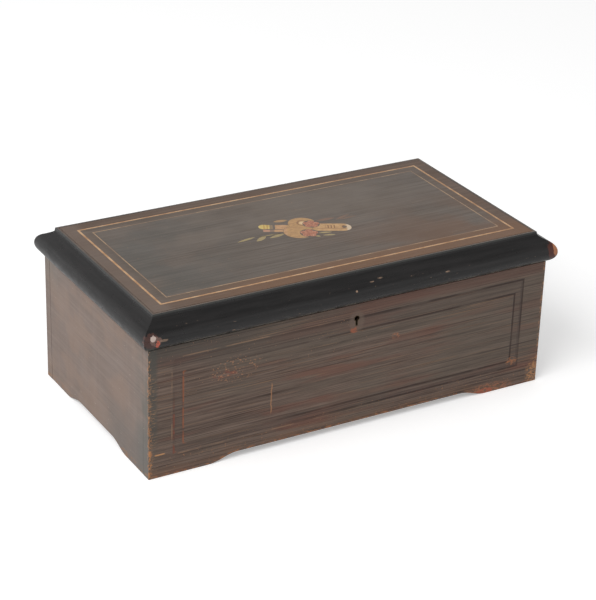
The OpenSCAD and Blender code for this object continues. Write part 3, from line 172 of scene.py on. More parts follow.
class Finish:
    """A material being mixed: one shader, and short calls for what feeds it."""

    def __init__(self, name, **sockets):
        self.material = bpy.data.materials.new(name)
        self.material.use_nodes = True
        self.tree = self.material.node_tree
        self.shader = self.tree.nodes["Principled BSDF"]
        for socket, value in sockets.items():
            self.shader.inputs[socket.replace("_", " ")].default_value = value
        place = self.node("ShaderNodeTexCoord").outputs["Object"]
        scaled = self.node("ShaderNodeVectorMath", place, operation="SCALE")
        scaled.inputs["Scale"].default_value = MM_PER_METRE
        self.place = scaled.outputs[0]
        self.x, self.y, self.z = self.node("ShaderNodeSeparateXYZ", self.place).outputs

    def node(self, kind, *inputs, **settings):
        """A new node, with its inputs linked or set in order."""
        made = self.tree.nodes.new(kind)
        for key, value in settings.items():
            setattr(made, key, value)
        for socket, value in zip(made.inputs, inputs):
            self.feed(socket, value)
        return made

    def feed(self, socket, value):
        """Links an output to a socket, or sets a number or a hex colour on it."""
        if isinstance(value, bpy.types.NodeSocket):
            self.tree.links.new(value, socket)
        elif isinstance(value, str):
            socket.default_value = rgb(value)
        else:
            socket.default_value = value

    def math(self, operation, *inputs):
        """One sum on the inputs."""
        return self.node("ShaderNodeMath", *inputs, operation=operation).outputs[0]

    def far(self, axis, centre=0):
        """How far along an axis from a centre, either way."""
        return self.math("ABSOLUTE", self.math("SUBTRACT", axis, centre))

    def step(self, value, low, high):
        """0 at low, 1 at high, with a soft change between."""
        made = self.node("ShaderNodeMapRange", value, interpolation_type="SMOOTHSTEP")
        for socket, number in zip(("From Min", "From Max"), (min(low, high), max(low, high))):
            made.inputs[socket].default_value = number
        if low > high:
            made.inputs["To Min"].default_value = 1
            made.inputs["To Max"].default_value = 0
        return made.outputs[0]

    def near(self, distance, width, soft=0.5):
        """1 on a line where distance is 0, fading over soft at both sides."""
        return self.step(self.math("ABSOLUTE", distance), width / 2 + soft, width / 2)

    def frame_line(self, across, up, half_w, half_h, middle):
        """Signed distance from a rectangle's outline, given by half sizes."""
        return self.math("MAXIMUM", self.math("SUBTRACT", self.far(across), half_w),
                         self.math("SUBTRACT", self.far(up, middle), half_h))

    def both(self, *masks):
        """1 only where every mask is 1. A plain number sets the strength."""
        made = masks[0]
        for mask in masks[1:]:
            made = self.math("MULTIPLY", made, mask)
        return made

    def marks(self, sizes, seed=0, detail=3, rough=0.55, warp=0):
        """A soft random pattern whose marks have these sizes along x, y and z."""
        moved = self.node("ShaderNodeMapping", self.place)
        moved.inputs["Location"].default_value = (seed * 7.3, seed * 3.1, seed * 5.7)
        moved.inputs["Scale"].default_value = [1 / size for size in sizes]
        made = self.node("ShaderNodeTexNoise", moved.outputs[0])
        made.inputs["Scale"].default_value = 1
        made.inputs["Detail"].default_value = detail
        made.inputs["Roughness"].default_value = rough
        made.inputs["Distortion"].default_value = warp
        return made.outputs["Fac"]

    def spots(self, sizes, seed, amount):
        """Small separate flecks: a larger amount gives more of them."""
        return self.step(self.marks(sizes, seed, 2), 0.72 - amount, 0.76 - amount)

    def blob(self, centre, radii):
        """1 inside an egg around a centre, fading out to its radii."""
        parts = [self.math("DIVIDE", self.far(axis, c), r)
                 for axis, c, r in zip((self.x, self.y, self.z), centre, radii)]
        squares = [self.math("MULTIPLY", part, part) for part in parts]
        total = self.math("ADD", self.math("ADD", squares[0], squares[1]), squares[2])
        return self.step(total, 1, 0.35)

    def shade(self, value, stops):
        """Turns a value into a colour through a list of (value, hex colour)."""
        made = self.node("ShaderNodeValToRGB", value)
        band = made.color_ramp.elements
        while len(band) < len(stops):
            band.new(0.5)
        for element, (position, code) in zip(band, stops):
            element.position = position
            element.color = rgb(code)
        return made.outputs["Color"]

    def mix(self, amount, under, over):
        """Lays one colour over another where amount is 1."""
        made = self.node("ShaderNodeMix", data_type="RGBA")
        self.feed(made.inputs[0], amount)
        self.feed(made.inputs[6], under)
        self.feed(made.inputs[7], over)
        return made.outputs[2]

    def times(self, amount, colour, factor):
        """Darkens a colour to a grey factor where amount is 1."""
        made = self.node("ShaderNodeMix", data_type="RGBA", blend_type="MULTIPLY")
        self.feed(made.inputs[0], amount)
        self.feed(made.inputs[6], colour)
        self.feed(made.inputs[7], (factor, factor, factor, 1))
        return made.outputs[2]

    def colour(self, value):
        """The finished colour goes to the shader."""
        self.feed(self.shader.inputs["Base Color"], value)

    def rough(self, value, low, high):
        """Roughness from low to high as value goes from 0.3 to 0.7."""
        made = self.node("ShaderNodeMapRange", value)
        ranges = {"From Min": 0.3, "From Max": 0.7, "To Min": low, "To Max": high}
        for socket, number in ranges.items():
            made.inputs[socket].default_value = number
        self.feed(self.shader.inputs["Roughness"], made.outputs[0])

    def relief(self, height, depth):
        """Bump: depth in millimetres for a height from 0 to 1."""
        made = self.node("ShaderNodeBump")
        made.inputs["Distance"].default_value = depth / MM_PER_METRE
        self.feed(made.inputs["Height"], height)
        self.feed(self.shader.inputs["Normal"], made.outputs[0])


print("finish helper ready")

# %% [markdown]
# ## Floor
# A sweep of paper would curve up behind the box. One wide flat sheet does the same here, since
# the camera looks down. It is a grid in mesh code, not part of the box.

# %% Floor
SHEET_HALF = 14
SHEET_DROP = 0.0002
PAPER_TONE = 0.86
PAPER_GLOW = 0.34
floor_mesh = bpy.data.meshes.new("floor")
sheet = bmesh.new()
bmesh.ops.create_grid(sheet, x_segments=8, y_segments=8, size=SHEET_HALF)
sheet.to_mesh(floor_mesh)
sheet.free()
floor = bpy.data.objects.new("floor", floor_mesh)
floor.location.z = -SHEET_DROP
bpy.context.scene.collection.objects.link(floor)
paper = Finish("paper", Roughness=0.9, Specular_IOR_Level=0.0)
paper.shader.inputs["Base Color"].default_value = (PAPER_TONE, PAPER_TONE, PAPER_TONE, 1)
paper.shader.inputs["Emission Color"].default_value = (1, 1, 1, 1)
glow = paper.node("ShaderNodeLightPath").outputs["Is Camera Ray"]
paper.feed(paper.shader.inputs["Emission Strength"], paper.math("MULTIPLY", glow, PAPER_GLOW))
floor_mesh.materials.append(paper.material)
print("floor", [round(side, 1) for side in floor.dimensions])

# %% [markdown]
# ## Front veneer
# The front is a dark, purplish rosewood with short black streaks along its length. A picture
# of wood would be quick, but it would blur close up and repeat. So the grain is noise stretched
# along x: long streaks, finer pores over them, and broad patches where the polish has faded.
# Two dark lines are scored round the field, and the wear lies where hands and knocks reach:
# the corners, the foot edges and the lines themselves.

# %% Front veneer finish
OUTER_LINE = (176.5, 43.95, 64.75)  # half width, half height and middle height
INNER_LINE = (167.7, 34.35, 61.75)
front = Finish("rosewood_front", Specular_IOR_Level=0.25)
long_grain = front.marks((170, 60, 1.5), 3, 4, 0.6, 0.15)
short_grain = front.marks((34, 30, 0.9), 7, 3)
pores = front.marks((11, 9, 0.5), 11, 2)
patches = front.marks((110, 50, 13), 5, 3)
haze = front.marks((150, 60, 60), 21, 2)
streaks = front.math("ADD", front.math("MULTIPLY", long_grain, 0.62),
                     front.math("MULTIPLY", short_grain, 0.38))
skin = front.shade(streaks, [(0.37, "3f322c"), (0.44, "5a4a41"),
                             (0.53, "6a594f"), (0.63, "79675c")])
skin = front.mix(front.both(front.step(patches, 0.52, 0.66), 0.65), skin, "704c40")
skin = front.mix(front.both(front.step(haze, 0.46, 0.6), 0.45), skin, "625a50")
skin = front.times(front.step(pores, 0.42, 0.33), skin, 0.8)
pale_grain = front.step(front.marks((95, 40, 0.9), 15, 2), 0.63, 0.68)
skin = front.mix(front.both(pale_grain, 0.45), skin, "987355")
top_band = front.both(front.step(front.z, 108, 116), front.step(front.x, -190, -150))
skin = front.mix(front.both(top_band, front.step(front.x, -80, 60), 0.5), skin, "6b4a40")
smoky = front.both(front.step(front.x, -60, -150), front.step(front.z, 96, 112), 0.6)
skin = front.mix(smoky, skin, "4d4742")
dark_grain = front.step(front.marks((210, 60, 0.9), 19, 2), 0.42, 0.36)
skin = front.mix(front.both(dark_grain, 0.5), skin, "362a26")

outer_line = front.frame_line(front.x, front.z, *OUTER_LINE)
inner_line = front.frame_line(front.x, front.z, *INNER_LINE)
between = front.both(front.step(outer_line, 0.4, -0.6), front.step(inner_line, -0.4, 0.6))
skin = front.mix(front.both(between, 0.16), skin, "3f3231")
scored = front.math("MAXIMUM", front.near(outer_line, 0.8, 1.0), front.near(inner_line, 0.8, 1.0))
fresh_right = front.math("MULTIPLY_ADD", front.step(front.x, -150, 60), 0.55, 0.25)
faded = front.step(front.marks((34, 20, 34), 25, 3), 0.36, 0.56)
faded_line = front.math("MULTIPLY_ADD", faded, 0.6, 0.4)
skin = front.mix(front.both(scored, fresh_right, faded_line), skin, "2f211d")
halo_line = front.both(front.near(front.math("SUBTRACT", outer_line, -1.6), 0.8, 1.0),
                       fresh_right, 0.4)
skin = front.mix(halo_line, skin, "3d2e2a")
beside = front.both(front.near(front.math("SUBTRACT", outer_line, 1.7), 0.4, 0.6),
                    front.step(front.x, 10, -90),
                    front.step(front.marks((22, 8, 22), 37, 3), 0.44, 0.6))
skin = front.mix(front.both(beside, 0.65), skin, "94755c")
worn_line = front.both(front.near(inner_line, 0.8, 0.7), front.step(front.x, -164, -168),
                       front.step(front.marks((8, 8, 9), 31, 3), 0.36, 0.5))
skin = front.mix(front.both(worn_line, 0.75), skin, "94583c")
red_line = front.both(front.near(outer_line, 1.2, 0.7), front.step(front.x, -173, -176),
                      front.step(front.z, 76, 52),
                      front.step(front.marks((8, 8, 7), 35, 3), 0.38, 0.52))
skin = front.mix(front.both(red_line, 0.7), skin, "7c4535")

# %% [markdown]
# ## Wear on the front
# Old polish goes first at the edges. Each mask below is a distance from an edge, broken up by
# noise, so the bare wood shows in nicks rather than in a ruled band. It is the same trick over
# and over: a place, a pattern, a colour.

# %% Front wear
CASE_HALF = 200
FACE = -106                            # y of the front's face
ARCH_END, ARCH_FLAT, ARCH_RISE = 143, 115, 6
edge = front.math("SUBTRACT", CASE_HALF, front.far(front.x))
left_edge = front.math("ADD", front.x, CASE_HALF)
fine_break = front.step(front.marks((3, 3, 1.5), 40, 3), 0.44, 0.58)
grey_corner = front.both(front.step(left_edge, 10, 6), front.step(front.z, 10, 60), 0.75)
skin = front.mix(grey_corner, skin, "4c4b46")
ticks = front.both(front.step(front.marks((6, 6, 0.8), 41, 2), 0.56, 0.62),
                   front.step(left_edge, 10, 4), front.step(front.z, 104, 84), 0.6)
skin = front.mix(ticks, skin, "a07a5c")
corner_flecks = front.both(front.step(edge, 3.4, 0.8), front.spots((2, 2, 3), 43, 0.17), 0.8)
skin = front.mix(corner_flecks, skin, "ad8260")
low_corner = front.both(front.step(left_edge, 5, 0.6), front.step(front.z, 80, 10),
                        front.spots((2.2, 2, 3.4), 47, 0.25))
skin = front.mix(front.both(low_corner, 0.9), skin, "c08250")
small_tear = front.both(front.near(front.math("SUBTRACT", front.z, 22), 0.5, 0.6),
                        front.step(left_edge, 16, 14), front.step(left_edge, 5, 7))
skin = front.mix(small_tear, skin, "c08c5e")

arch_top = front.step(front.far(front.x), ARCH_END, ARCH_FLAT)
above_foot = front.math("SUBTRACT", front.z, front.math("MULTIPLY", arch_top, ARCH_RISE))
brown_rail = front.both(front.step(above_foot, 12, 2),
                        front.step(front.marks((50, 20, 6), 52, 3), 0.4, 0.6), 0.5)
skin = front.mix(brown_rail, skin, "7a5b47")
foot_wear = front.both(front.step(above_foot, 3.6, 0.4), front.spots((7, 5, 1.6), 53, 0.2), 0.85)
skin = front.mix(foot_wear, skin, "a5714c")
bare_foot = front.both(front.blob((146, FACE, 3), (30, 20, 8)), fine_break, 0.85)
skin = front.mix(front.both(bare_foot, 0.8), skin, "a36c50")
raw_foot = front.both(front.blob((141, FACE, 2), (12, 20, 4)),
                      front.step(front.marks((4, 4, 2), 81, 3), 0.4, 0.52))
skin = front.mix(front.both(raw_foot, 0.85), skin, "a85c47")
bare_corner = front.both(front.blob((199, FACE, 10), (13, 20, 18)), fine_break, 0.85)
skin = front.mix(bare_corner, skin, "b08058")
line_corner = front.both(front.blob((170, FACE, 27), (7, 20, 5)), fine_break, 0.7)
skin = front.mix(line_corner, skin, "ad714b")

specks = front.both(front.spots((1.5, 1.5, 1.2), 67, 0.035), front.step(front.x, 80, -60),
                    front.step(front.z, 50, 90), 0.85)
skin = front.mix(specks, skin, "bd8a66")
rail_specks = front.both(front.spots((2.2, 2, 1.2), 71, 0.06), front.step(front.z, 30, 12), 0.8)
skin = front.mix(rail_specks, skin, "b07c55")
scratch_wave = front.math("SUBTRACT", front.marks((30, 30, 7), 75, 2), 0.5)
beside_scratch = front.math("ADD", front.math("ADD", front.x, 83),
                            front.math("MULTIPLY", scratch_wave, 3))
scratch = front.both(front.near(beside_scratch, 0.5, 0.5),
                     front.step(front.z, 34, 38), front.step(front.z, 66, 62), 0.6)
skin = front.mix(scratch, skin, "b5825a")
red_patch = front.both(front.blob((-128, FACE, 84), (14, 20, 4)),
                       front.step(front.marks((7, 7, 2), 77, 3), 0.46, 0.58))
skin = front.mix(front.both(red_patch, 0.7), skin, "80483a")
flaked = front.both(front.blob((-118, FACE, 87), (30, 20, 14)),
                    front.spots((2.4, 2, 1.4), 83, 0.1), 0.85)
skin = front.mix(flaked, skin, "a8795a")
ding = front.both(front.blob((41, FACE, 82), (5, 20, 3.4)), fine_break)
skin = front.mix(front.both(ding, 0.85), skin, "a4694a")
key_halo = front.both(front.blob((0, FACE, 105), (9, 20, 13)), 0.5)
skin = front.mix(key_halo, skin, "6f5f54")
key_wear = front.both(front.blob((-2, FACE, 97.5), (5, 20, 3.4)),
                      front.step(front.marks((3, 3, 2), 79, 3), 0.4, 0.55))
skin = front.mix(front.both(key_wear, 0.8), skin, "9c5a40")

inside = front.step(front.y, -104.6, -103.8)
skin = front.mix(inside, skin, front.shade(streaks, [(0.38, "33221b"), (0.62, "523628")]))
front.colour(skin)
front.rough(front.marks((40, 40, 9), 73, 4), 0.38, 0.56)
front_height = front.math("SUBTRACT", front.math("MULTIPLY", pores, 0.4), scored)
front.relief(front_height, 0.2)
print("front veneer mixed")

# %% [markdown]
# ## End veneer
# The ends have faded to a grey, slightly pink brown, and the grain hardly shows. The same noise
# is used with much less contrast, plus soft upright bands where the polish was brushed on, a
# pinkish bloom, and a greener grey near the front corner.
# The front and back boards reach past the ends, so their narrow end faces take this finish too.

# %% End veneer finish
end = Finish("faded_end_veneer", Specular_IOR_Level=0.25)
end_grain = end.marks((30, 110, 2.2), 5, 4, 0.6, 0.15)
end_pores = end.marks((9, 18, 0.8), 13, 2)
upright = end.marks((40, 9, 160), 14, 3)
end_skin = end.shade(end_grain, [(0.34, "77685f"), (0.5, "7c6d65"), (0.66, "82736a")])
end_skin = end.mix(end.both(end.step(upright, 0.48, 0.66), 0.25), end_skin, "877870")
pink = end.both(end.step(end.marks((40, 45, 34), 16, 2), 0.46, 0.62), 0.5)
end_skin = end.mix(pink, end_skin, "8c7668")
toward_front = end.both(end.step(end.y, -74, -100),
                        end.step(end.marks((20, 30, 40), 17, 2), 0.25, 0.55))
end_skin = end.mix(end.both(toward_front, 0.8), end_skin, "605e58")
low_front = end.both(end.step(end.y, 10, -60), end.step(end.z, 60, 20))
end_skin = end.mix(end.both(low_front, 0.45), end_skin, "686562")
top_back = end.both(end.step(end.z, 84, 118), end.step(end.y, 60, 100))
end_skin = end.mix(end.both(top_back, 0.45), end_skin, "74726c")
end_skin = end.times(end.step(end_pores, 0.4, 0.3), end_skin, 0.95)
crack_height = end.math("ADD", end.math("SUBTRACT", end.z, 74), end.math("MULTIPLY", end.y, 0.03))
fine_crack = end.near(crack_height, 0.3, 0.5)
end_skin = end.mix(end.both(fine_crack, end.step(end.y, 60, 40), 0.3), end_skin, "5f5650")
seam = end.near(end.math("SUBTRACT", end.far(end.y), 103.4), 0.5, 0.5)
end_skin = end.mix(end.both(seam, 0.15), end_skin, "4d423d")
end_low = end.both(end.step(end.z, 9, 1), end.spots((6, 8, 2), 23, 0.16), 0.7)
end_skin = end.mix(end_low, end_skin, "98704f")
end_corner = end.both(end.step(end.y, -102.6, -105.6), end.spots((3, 3, 4), 29, 0.2), 0.8)
end_skin = end.mix(end_corner, end_skin, "a8764f")
end_nicks = end.both(end.spots((3, 3.4, 1.6), 33, 0.02), 0.6)
end_skin = end.mix(end_nicks, end_skin, "a39a90")
end_inside = end.step(end.far(end.x), 198.6, 197.8)
end_skin = end.mix(end_inside, end_skin, end.shade(end_grain, [(0.35, "33221b"), (0.65, "523628")]))
end.colour(end_skin)
end.rough(end.marks((40, 40, 30), 35, 3), 0.4, 0.58)
end.relief(end_pores, 0.06)
print("end veneer mixed")

# %% [markdown]
# ## Back and inner wood
# The back is the same wood as the front but never polished with care, and the partitions and
# the glass lid's frame are stained to match. One recipe with two strengths is enough: only the
# tones and the size of the grain differ.

# %% Stained wood recipe
def stained_wood(name, dark, mid, pale, sizes, seed):
    """A plain stained wood: grain, pores and a few paler rubs."""
    made = Finish(name, Specular_IOR_Level=0.3)
    grain = made.marks(sizes, seed, 5, 0.6, 0.4)
    fine = made.marks([size / 4 for size in sizes], seed + 3, 2)
    tone = made.shade(grain, [(0.36, dark), (0.5, mid), (0.66, pale)])
    tone = made.times(made.step(fine, 0.42, 0.34), tone, 0.75)
    rubs = made.step(made.marks((30, 30, 18), seed + 7, 4), 0.58, 0.7)
    tone = made.mix(made.both(rubs, 0.35), tone, pale)
    made.colour(tone)
    made.rough(grain, 0.38, 0.55)
    made.relief(fine, 0.08)
    return made


back_wood = stained_wood("rosewood_back", "2b201d", "43342f", "55433c", (70, 30, 2.4), 83)
inner_wood = stained_wood("stained_inner_wood", "3a241a", "55372a", "694636", (60, 60, 2.2), 89)
glass_frame_wood = stained_wood("polished_frame_wood", "2c1b14", "472d20", "5f3e2c",
                                (50, 2.4, 2.4), 97)
beech = stained_wood("pale_beech", "8d6a47", "a88258", "bd9a70", (60, 3.2, 3.2), 101)
print("plain woods mixed")

# %% [markdown]
# ## Lid veneer
# The lid's field has greyed under polish and dust while its border stays warmer. A single tone
# would look like plastic. Here distance from the strings sets how warm the wood is, and grain
# along x, crossed by a few fine scratches, breaks it up. Below the surface the same board is
# plainly stained, which shows when the lid is open.

# %% Lid veneer finish
THICK_STRING = (178, 84, 0)  # half length, half depth and middle
THIN_STRING = (167.6, 73.6, 0)
lid = Finish("lid_veneer", Specular_IOR_Level=0.24)
lid_grain = lid.marks((120, 2.2, 30), 7, 4, 0.6, 0.3)
lid_pores = lid.marks((14, 0.7, 12), 19, 2)
lid_clouds = lid.marks((60, 44, 50), 27, 3)
lid_skin = lid.shade(lid_grain, [(0.34, "564c44"), (0.5, "625850"), (0.66, "6c6259")])
warm = lid.both(lid.step(lid.x, -60, 160), lid.step(lid.y, 40, -70),
                lid.step(lid_clouds, 0.34, 0.56))
lid_skin = lid.mix(lid.both(warm, 0.8), lid_skin, "6b5140")
light = lid.both(lid.blob((10, 40, 150), (150, 60, 60)), lid.step(lid_clouds, 0.36, 0.6))
lid_skin = lid.mix(lid.both(light, 0.55), lid_skin, "6f645a")
cool = lid.both(lid.step(lid.x, -30, -150), lid.step(lid_clouds, 0.62, 0.42))
lid_skin = lid.mix(lid.both(cool, 0.55), lid_skin, "504f4b")
border_tone = lid.shade(lid_grain, [(0.34, "4e3c32"), (0.66, "6c5445")])
border = lid.step(lid.frame_line(lid.x, lid.y, *THICK_STRING), -1, 0.5)
lid_skin = lid.mix(lid.both(border, 0.75), lid_skin, border_tone)
between_strings = lid.step(lid.frame_line(lid.x, lid.y, *THIN_STRING), -2.5, 0)
lid_skin = lid.mix(lid.both(between_strings, 0.35), lid_skin, "5e4837")
front_glow = lid.both(between_strings, lid.step(lid.y, -50, -76), lid.step(lid.x, -190, -60))
lid_skin = lid.mix(lid.both(front_glow, 0.65), lid_skin, "76543a")
left_border = lid.both(lid.step(lid.x, -168, -178), 0.6)
lid_skin = lid.mix(left_border, lid_skin, "6f6056")
lid_skin = lid.times(lid.step(lid_pores, 0.4, 0.3), lid_skin, 0.86)
lid_rubs = lid.both(lid.step(lid.marks((34, 1.1, 10), 39, 2), 0.66, 0.71), 0.3)
lid_skin = lid.mix(lid_rubs, lid_skin, "8a7a6c")
lid_specks = lid.both(lid.spots((1.6, 1.6, 9), 45, 0.015), 0.5)
lid_skin = lid.mix(lid_specks, lid_skin, "a5794f")
lid_under = lid.step(lid.z, 148.8, 148.4)
lid_stain = lid.shade(lid_grain, [(0.35, "3a281f"), (0.65, "5a3f30")])
lid_skin = lid.mix(lid_under, lid_skin, lid_stain)
lid.colour(lid_skin)
lid.rough(lid.marks((60, 40, 40), 49, 4), 0.36, 0.52)
lid.relief(lid_pores, 0.04)
print("lid veneer mixed")

# %% [markdown]
# ## Ebonised moulding
# The moulding is pearwood or beech dyed black and polished, so it is glossier than the veneer
# and shows soft white reflections along the bullnose. Gloss, small dents and the chips at the
# corners matter more than colour, though pale bands along the roll's lower edge and the lip are
# painted reflections and highlights, one of them partly dust and wear. The chips are egg-shaped
# masks with a ragged edge, white where the ground shows and red-orange where the stain has soaked
# in.

# %% Ebonised finish
LIP_VENEER = (191.6, 97.6, 0)  # half length, half depth and middle
ebony = Finish("ebonised_wood", Specular_IOR_Level=0.36)
ebony_grain = ebony.marks((40, 40, 1.6), 51, 4)
dents = ebony.marks((9, 9, 5), 57, 4)
black = ebony.shade(ebony_grain, [(0.36, "151414"), (0.64, "201e1e")])
# Pale greenish band on the front roll's lower part: partly dust, partly a painted reflection of the
# white floor.
low_dust_and_reflection = ebony.both(ebony.step(ebony.z, 128, 124), ebony.step(ebony.y, -103, -108))
black = ebony.mix(ebony.both(low_dust_and_reflection, 0.6), black, "3d3f3b")
# Painted reflection: a pale grey band on the left roll's lower part, as if it mirrored the white
# floor.
painted_side_reflection = ebony.both(ebony.step(ebony.z, 129, 125), ebony.step(ebony.x, -200, -204))
black = ebony.mix(ebony.both(painted_side_reflection, 0.5), black, "50504c")
for x, z, half_length, half_height in (
    (22, 142.6, 5, 0.7), (88, 137.2, 3, 0.7), (54, 139.8, 4, 0.4), (12, 141.5, 3, 0.4),
    (-5, 137.4, 1.2, 1), (-61, 128.9, 2, 0.5), (-124, 127.2, 2, 0.5),
):
    nick = ebony.blob((x, -111, z), (half_length, 8, half_height))
    black = ebony.mix(ebony.both(nick, ebony.step(dents, 0.4, 0.55), 0.8), black, "a88a74")
fine_dents = ebony.marks((2.4, 2.4, 2.4), 77, 3)
# Broken light grey-brown line along the front roll's lower edge: partly wear, partly a painted
# highlight.
roll_edge_wear_and_highlight = ebony.both(ebony.near(ebony.math("SUBTRACT", ebony.z, 125.4), 0.6, 1.2),
                        ebony.step(ebony.marks((15, 12, 20), 65, 3), 0.46, 0.58),
                        ebony.step(ebony.y, -108, -109.5))
black = ebony.mix(ebony.both(roll_edge_wear_and_highlight, 0.5), black, "6f6a62")
left_glint = ebony.both(ebony.near(ebony.math("SUBTRACT", ebony.z, 126), 0.7, 0.8),
                        ebony.step(ebony.x, -200, -203), ebony.step(ebony.y, -100, -96))
black = ebony.mix(ebony.both(left_glint, 0.6), black, "8a8782")
tiny_chips = ebony.both(ebony.spots((3, 3, 1), 63, 0.012), ebony.step(ebony.y, -106, -110), 0.6)
black = ebony.mix(tiny_chips, black, "86705f")
# Painted highlight: a grey line along the lip's arris.
lip_painted_highlight = ebony.both(ebony.step(ebony.z, 148.2, 149.2), 0.5)
black = ebony.mix(lip_painted_highlight, black, "4b4c4a")
lip_grain = ebony.marks((90, 60, 3), 85, 3)
lip_veneer = ebony.shade(lip_grain, [(0.36, "4a3c34"), (0.64, "67574b")])
veneered = ebony.both(ebony.step(ebony.z, 149.9, 149.97),
                      ebony.step(ebony.frame_line(ebony.x, ebony.y, *LIP_VENEER), 0.3, -0.3))
black = ebony.mix(veneered, black, lip_veneer)
ragged = ebony.math("MULTIPLY", ebony.math("SUBTRACT", fine_dents, 0.5), 3.0)


def chip(centre, radii):
    """A knocked-off spot: an egg-shaped mask with a ragged rim."""
    spot = ebony.blob(centre, radii)
    return ebony.both(ebony.step(spot, 0.02, 0.2),
                      ebony.step(ebony.math("ADD", spot, ragged), 0.42, 0.6))


for centre, radii, strength, tone in (
    ((-200, -112, 134), (9, 6, 8), 0.7, "4f322c"),
    ((-196, -112, 133), (6, 6, 5), 0.6, "7a5f56"),
    ((-194.4, -112, 130.4), (2.4, 5, 4.5), 0.9, "b95a44"),
    ((-189, -112, 132.8), (5, 5, 1.4), 0.6, "8f7562"),
    ((-198.6, -112, 136), (3, 5, 3), 0.85, "c4b2a8"),
    ((202, -111, 135), (7, 9, 10), 0.8, "54291f"),
    ((205, -110, 136), (3.4, 9, 9), 0.9, "a8704f"),
):
    black = ebony.mix(ebony.both(chip(centre, radii), strength), black, tone)
ebony.colour(black)
ebony.rough(dents, 0.24, 0.42)
ebony.relief(dents, 0.08)
print("ebonised finish mixed")

# %% [markdown]
# ## Boxwood strings and marquetry
# Boxwood is a close yellow wood that turns orange-tan under old varnish. The thick outer string
# keeps its colour, the thin inner one is rubbed away in places. The trophy's veneers are tinted
# woods: the instruments shade from yellow to pinkish brown, as if scorched in hot sand, the
# blossoms are red with pale flecks and the leaves go from pale green to brown. All of it comes
# from place on the lid, so the colours stay where the cutter put them.

# %% Boxwood finish
box = Finish("boxwood", Specular_IOR_Level=0.25)
box_grain = box.marks((9, 9, 9), 81, 4)
box_skin = box.shade(box_grain, [(0.34, "a27852"), (0.5, "b98f68"), (0.66, "c7a37e")])
inner_string = box.step(box.frame_line(box.x, box.y, 171, 77, 0), 1, -1)
thin_wear = box.both(inner_string, box.step(box.marks((22, 22, 22), 87, 3), 0.46, 0.58))
box_skin = box.mix(box.both(inner_string, 0.7), box_skin, "a08a72")
box_skin = box.mix(box.both(thin_wear, 0.6), box_skin, "6b5547")
box.colour(box_skin)
box.rough(box_grain, 0.36, 0.5)
box.relief(box_grain, 0.03)

# %% Marquetry finishes
TURN = math.radians(-26)  # how far the pipes are turned on the lid
PIPE_RING = (44.2, 6.2)   # u and v of the ring near the end of the right pipe
BODY_RING = (5.6, 14.2)   # and of the one on the round body


def along_pipes(made):
    """u runs along the pipes and v across them, from the middle of the lid."""
    u = made.math("ADD", made.math("MULTIPLY", made.x, math.cos(TURN)),
                  made.math("MULTIPLY", made.y, math.sin(TURN)))
    v = made.math("SUBTRACT", made.math("MULTIPLY", made.y, math.cos(TURN)),
                  made.math("MULTIPLY", made.x, math.sin(TURN)))
    return u, v


def ring(made, u, v, centre, radius, width):
    """A thin circle drawn on the veneer."""
    across = made.math("SUBTRACT", u, centre[0])
    up = made.math("SUBTRACT", v, centre[1])
    far = made.math("SQRT", made.math("ADD", made.math("MULTIPLY", across, across),
                                      made.math("MULTIPLY", up, up)))
    return made.near(made.math("SUBTRACT", far, radius), width, 0.4)


tune = Finish("marquetry_instruments", Specular_IOR_Level=0.25)
u, v = along_pipes(tune)
fine_grain = tune.marks((3, 3, 3), 91, 3)
body = tune.shade(fine_grain, [(0.35, "a58058"), (0.65, "bb9468")])
right_pipe = tune.shade(fine_grain, [(0.35, "b08a5e"), (0.65, "c7a074")])
body = tune.mix(tune.both(tune.step(u, 15.5, 17.5), tune.step(v, 14, 13.4)), body, right_pipe)
pink = tune.shade(fine_grain, [(0.35, "ad8560"), (0.65, "c49a74")])
body = tune.mix(tune.step(u, -8.5, -10.5), body, pink)
bell = tune.both(tune.step(u, -22, -24), tune.step(v, -0.4, 0.4))
body = tune.mix(bell, body, tune.shade(fine_grain, [(0.35, "bfa55c"), (0.65, "cfb774")]))
bars = tune.both(bell, tune.step(u, -32, -30), tune.near(tune.math("PINGPONG", u, 1.5), 0.8, 0.5))
body = tune.mix(tune.both(bars, 0.6), body, "a8743c")
lower_pipe = tune.both(tune.step(u, -20, -24), tune.step(v, -0.4, -1))
body = tune.mix(tune.both(lower_pipe, 0.7), body, "b08070")
band = tune.both(tune.step(u, -20.5, -21.5), tune.step(u, -25.5, -24.5), 0.75)
body = tune.mix(band, body, "75685c")
dark_lines = tune.both(tune.step(u, 17, 18), tune.near(tune.math("SUBTRACT", v, 2.6), 0.5, 0.5))
keys = tune.both(tune.step(u, 25, 26), tune.step(u, 35, 34),
                 tune.near(tune.math("PINGPONG", u, 1.4), 0.6, 0.5),
                 tune.step(v, 2, 3), tune.step(v, 10, 9))
rings = tune.math("MAXIMUM", ring(tune, u, v, PIPE_RING, 3.4, 0.8),
                  ring(tune, u, v, BODY_RING, 5.2, 0.6))
drawn = tune.math("MAXIMUM", tune.math("MAXIMUM", dark_lines, keys), rings)
body = tune.mix(tune.both(drawn, 0.8), body, "74503a")
body = tune.mix(tune.both(ring(tune, u, v, BODY_RING, 1.6, 3.2), 0.8), body, "d9bd95")
body = tune.mix(tune.step(u, 43.5, 46), body, "cdb79c")
tune.colour(body)
tune.rough(fine_grain, 0.36, 0.5)
tune.relief(fine_grain, 0.03)

petal = Finish("marquetry_blossoms", Specular_IOR_Level=0.25)
dots = petal.marks((1.6, 1.6, 1.6), 95, 3)
petal.colour(petal.shade(dots, [(0.38, "94604a"), (0.5, "ab7058"),
                                (0.6, "b8826a"), (0.68, "c49a80")]))
petal.rough(dots, 0.36, 0.5)
petal.relief(dots, 0.03)

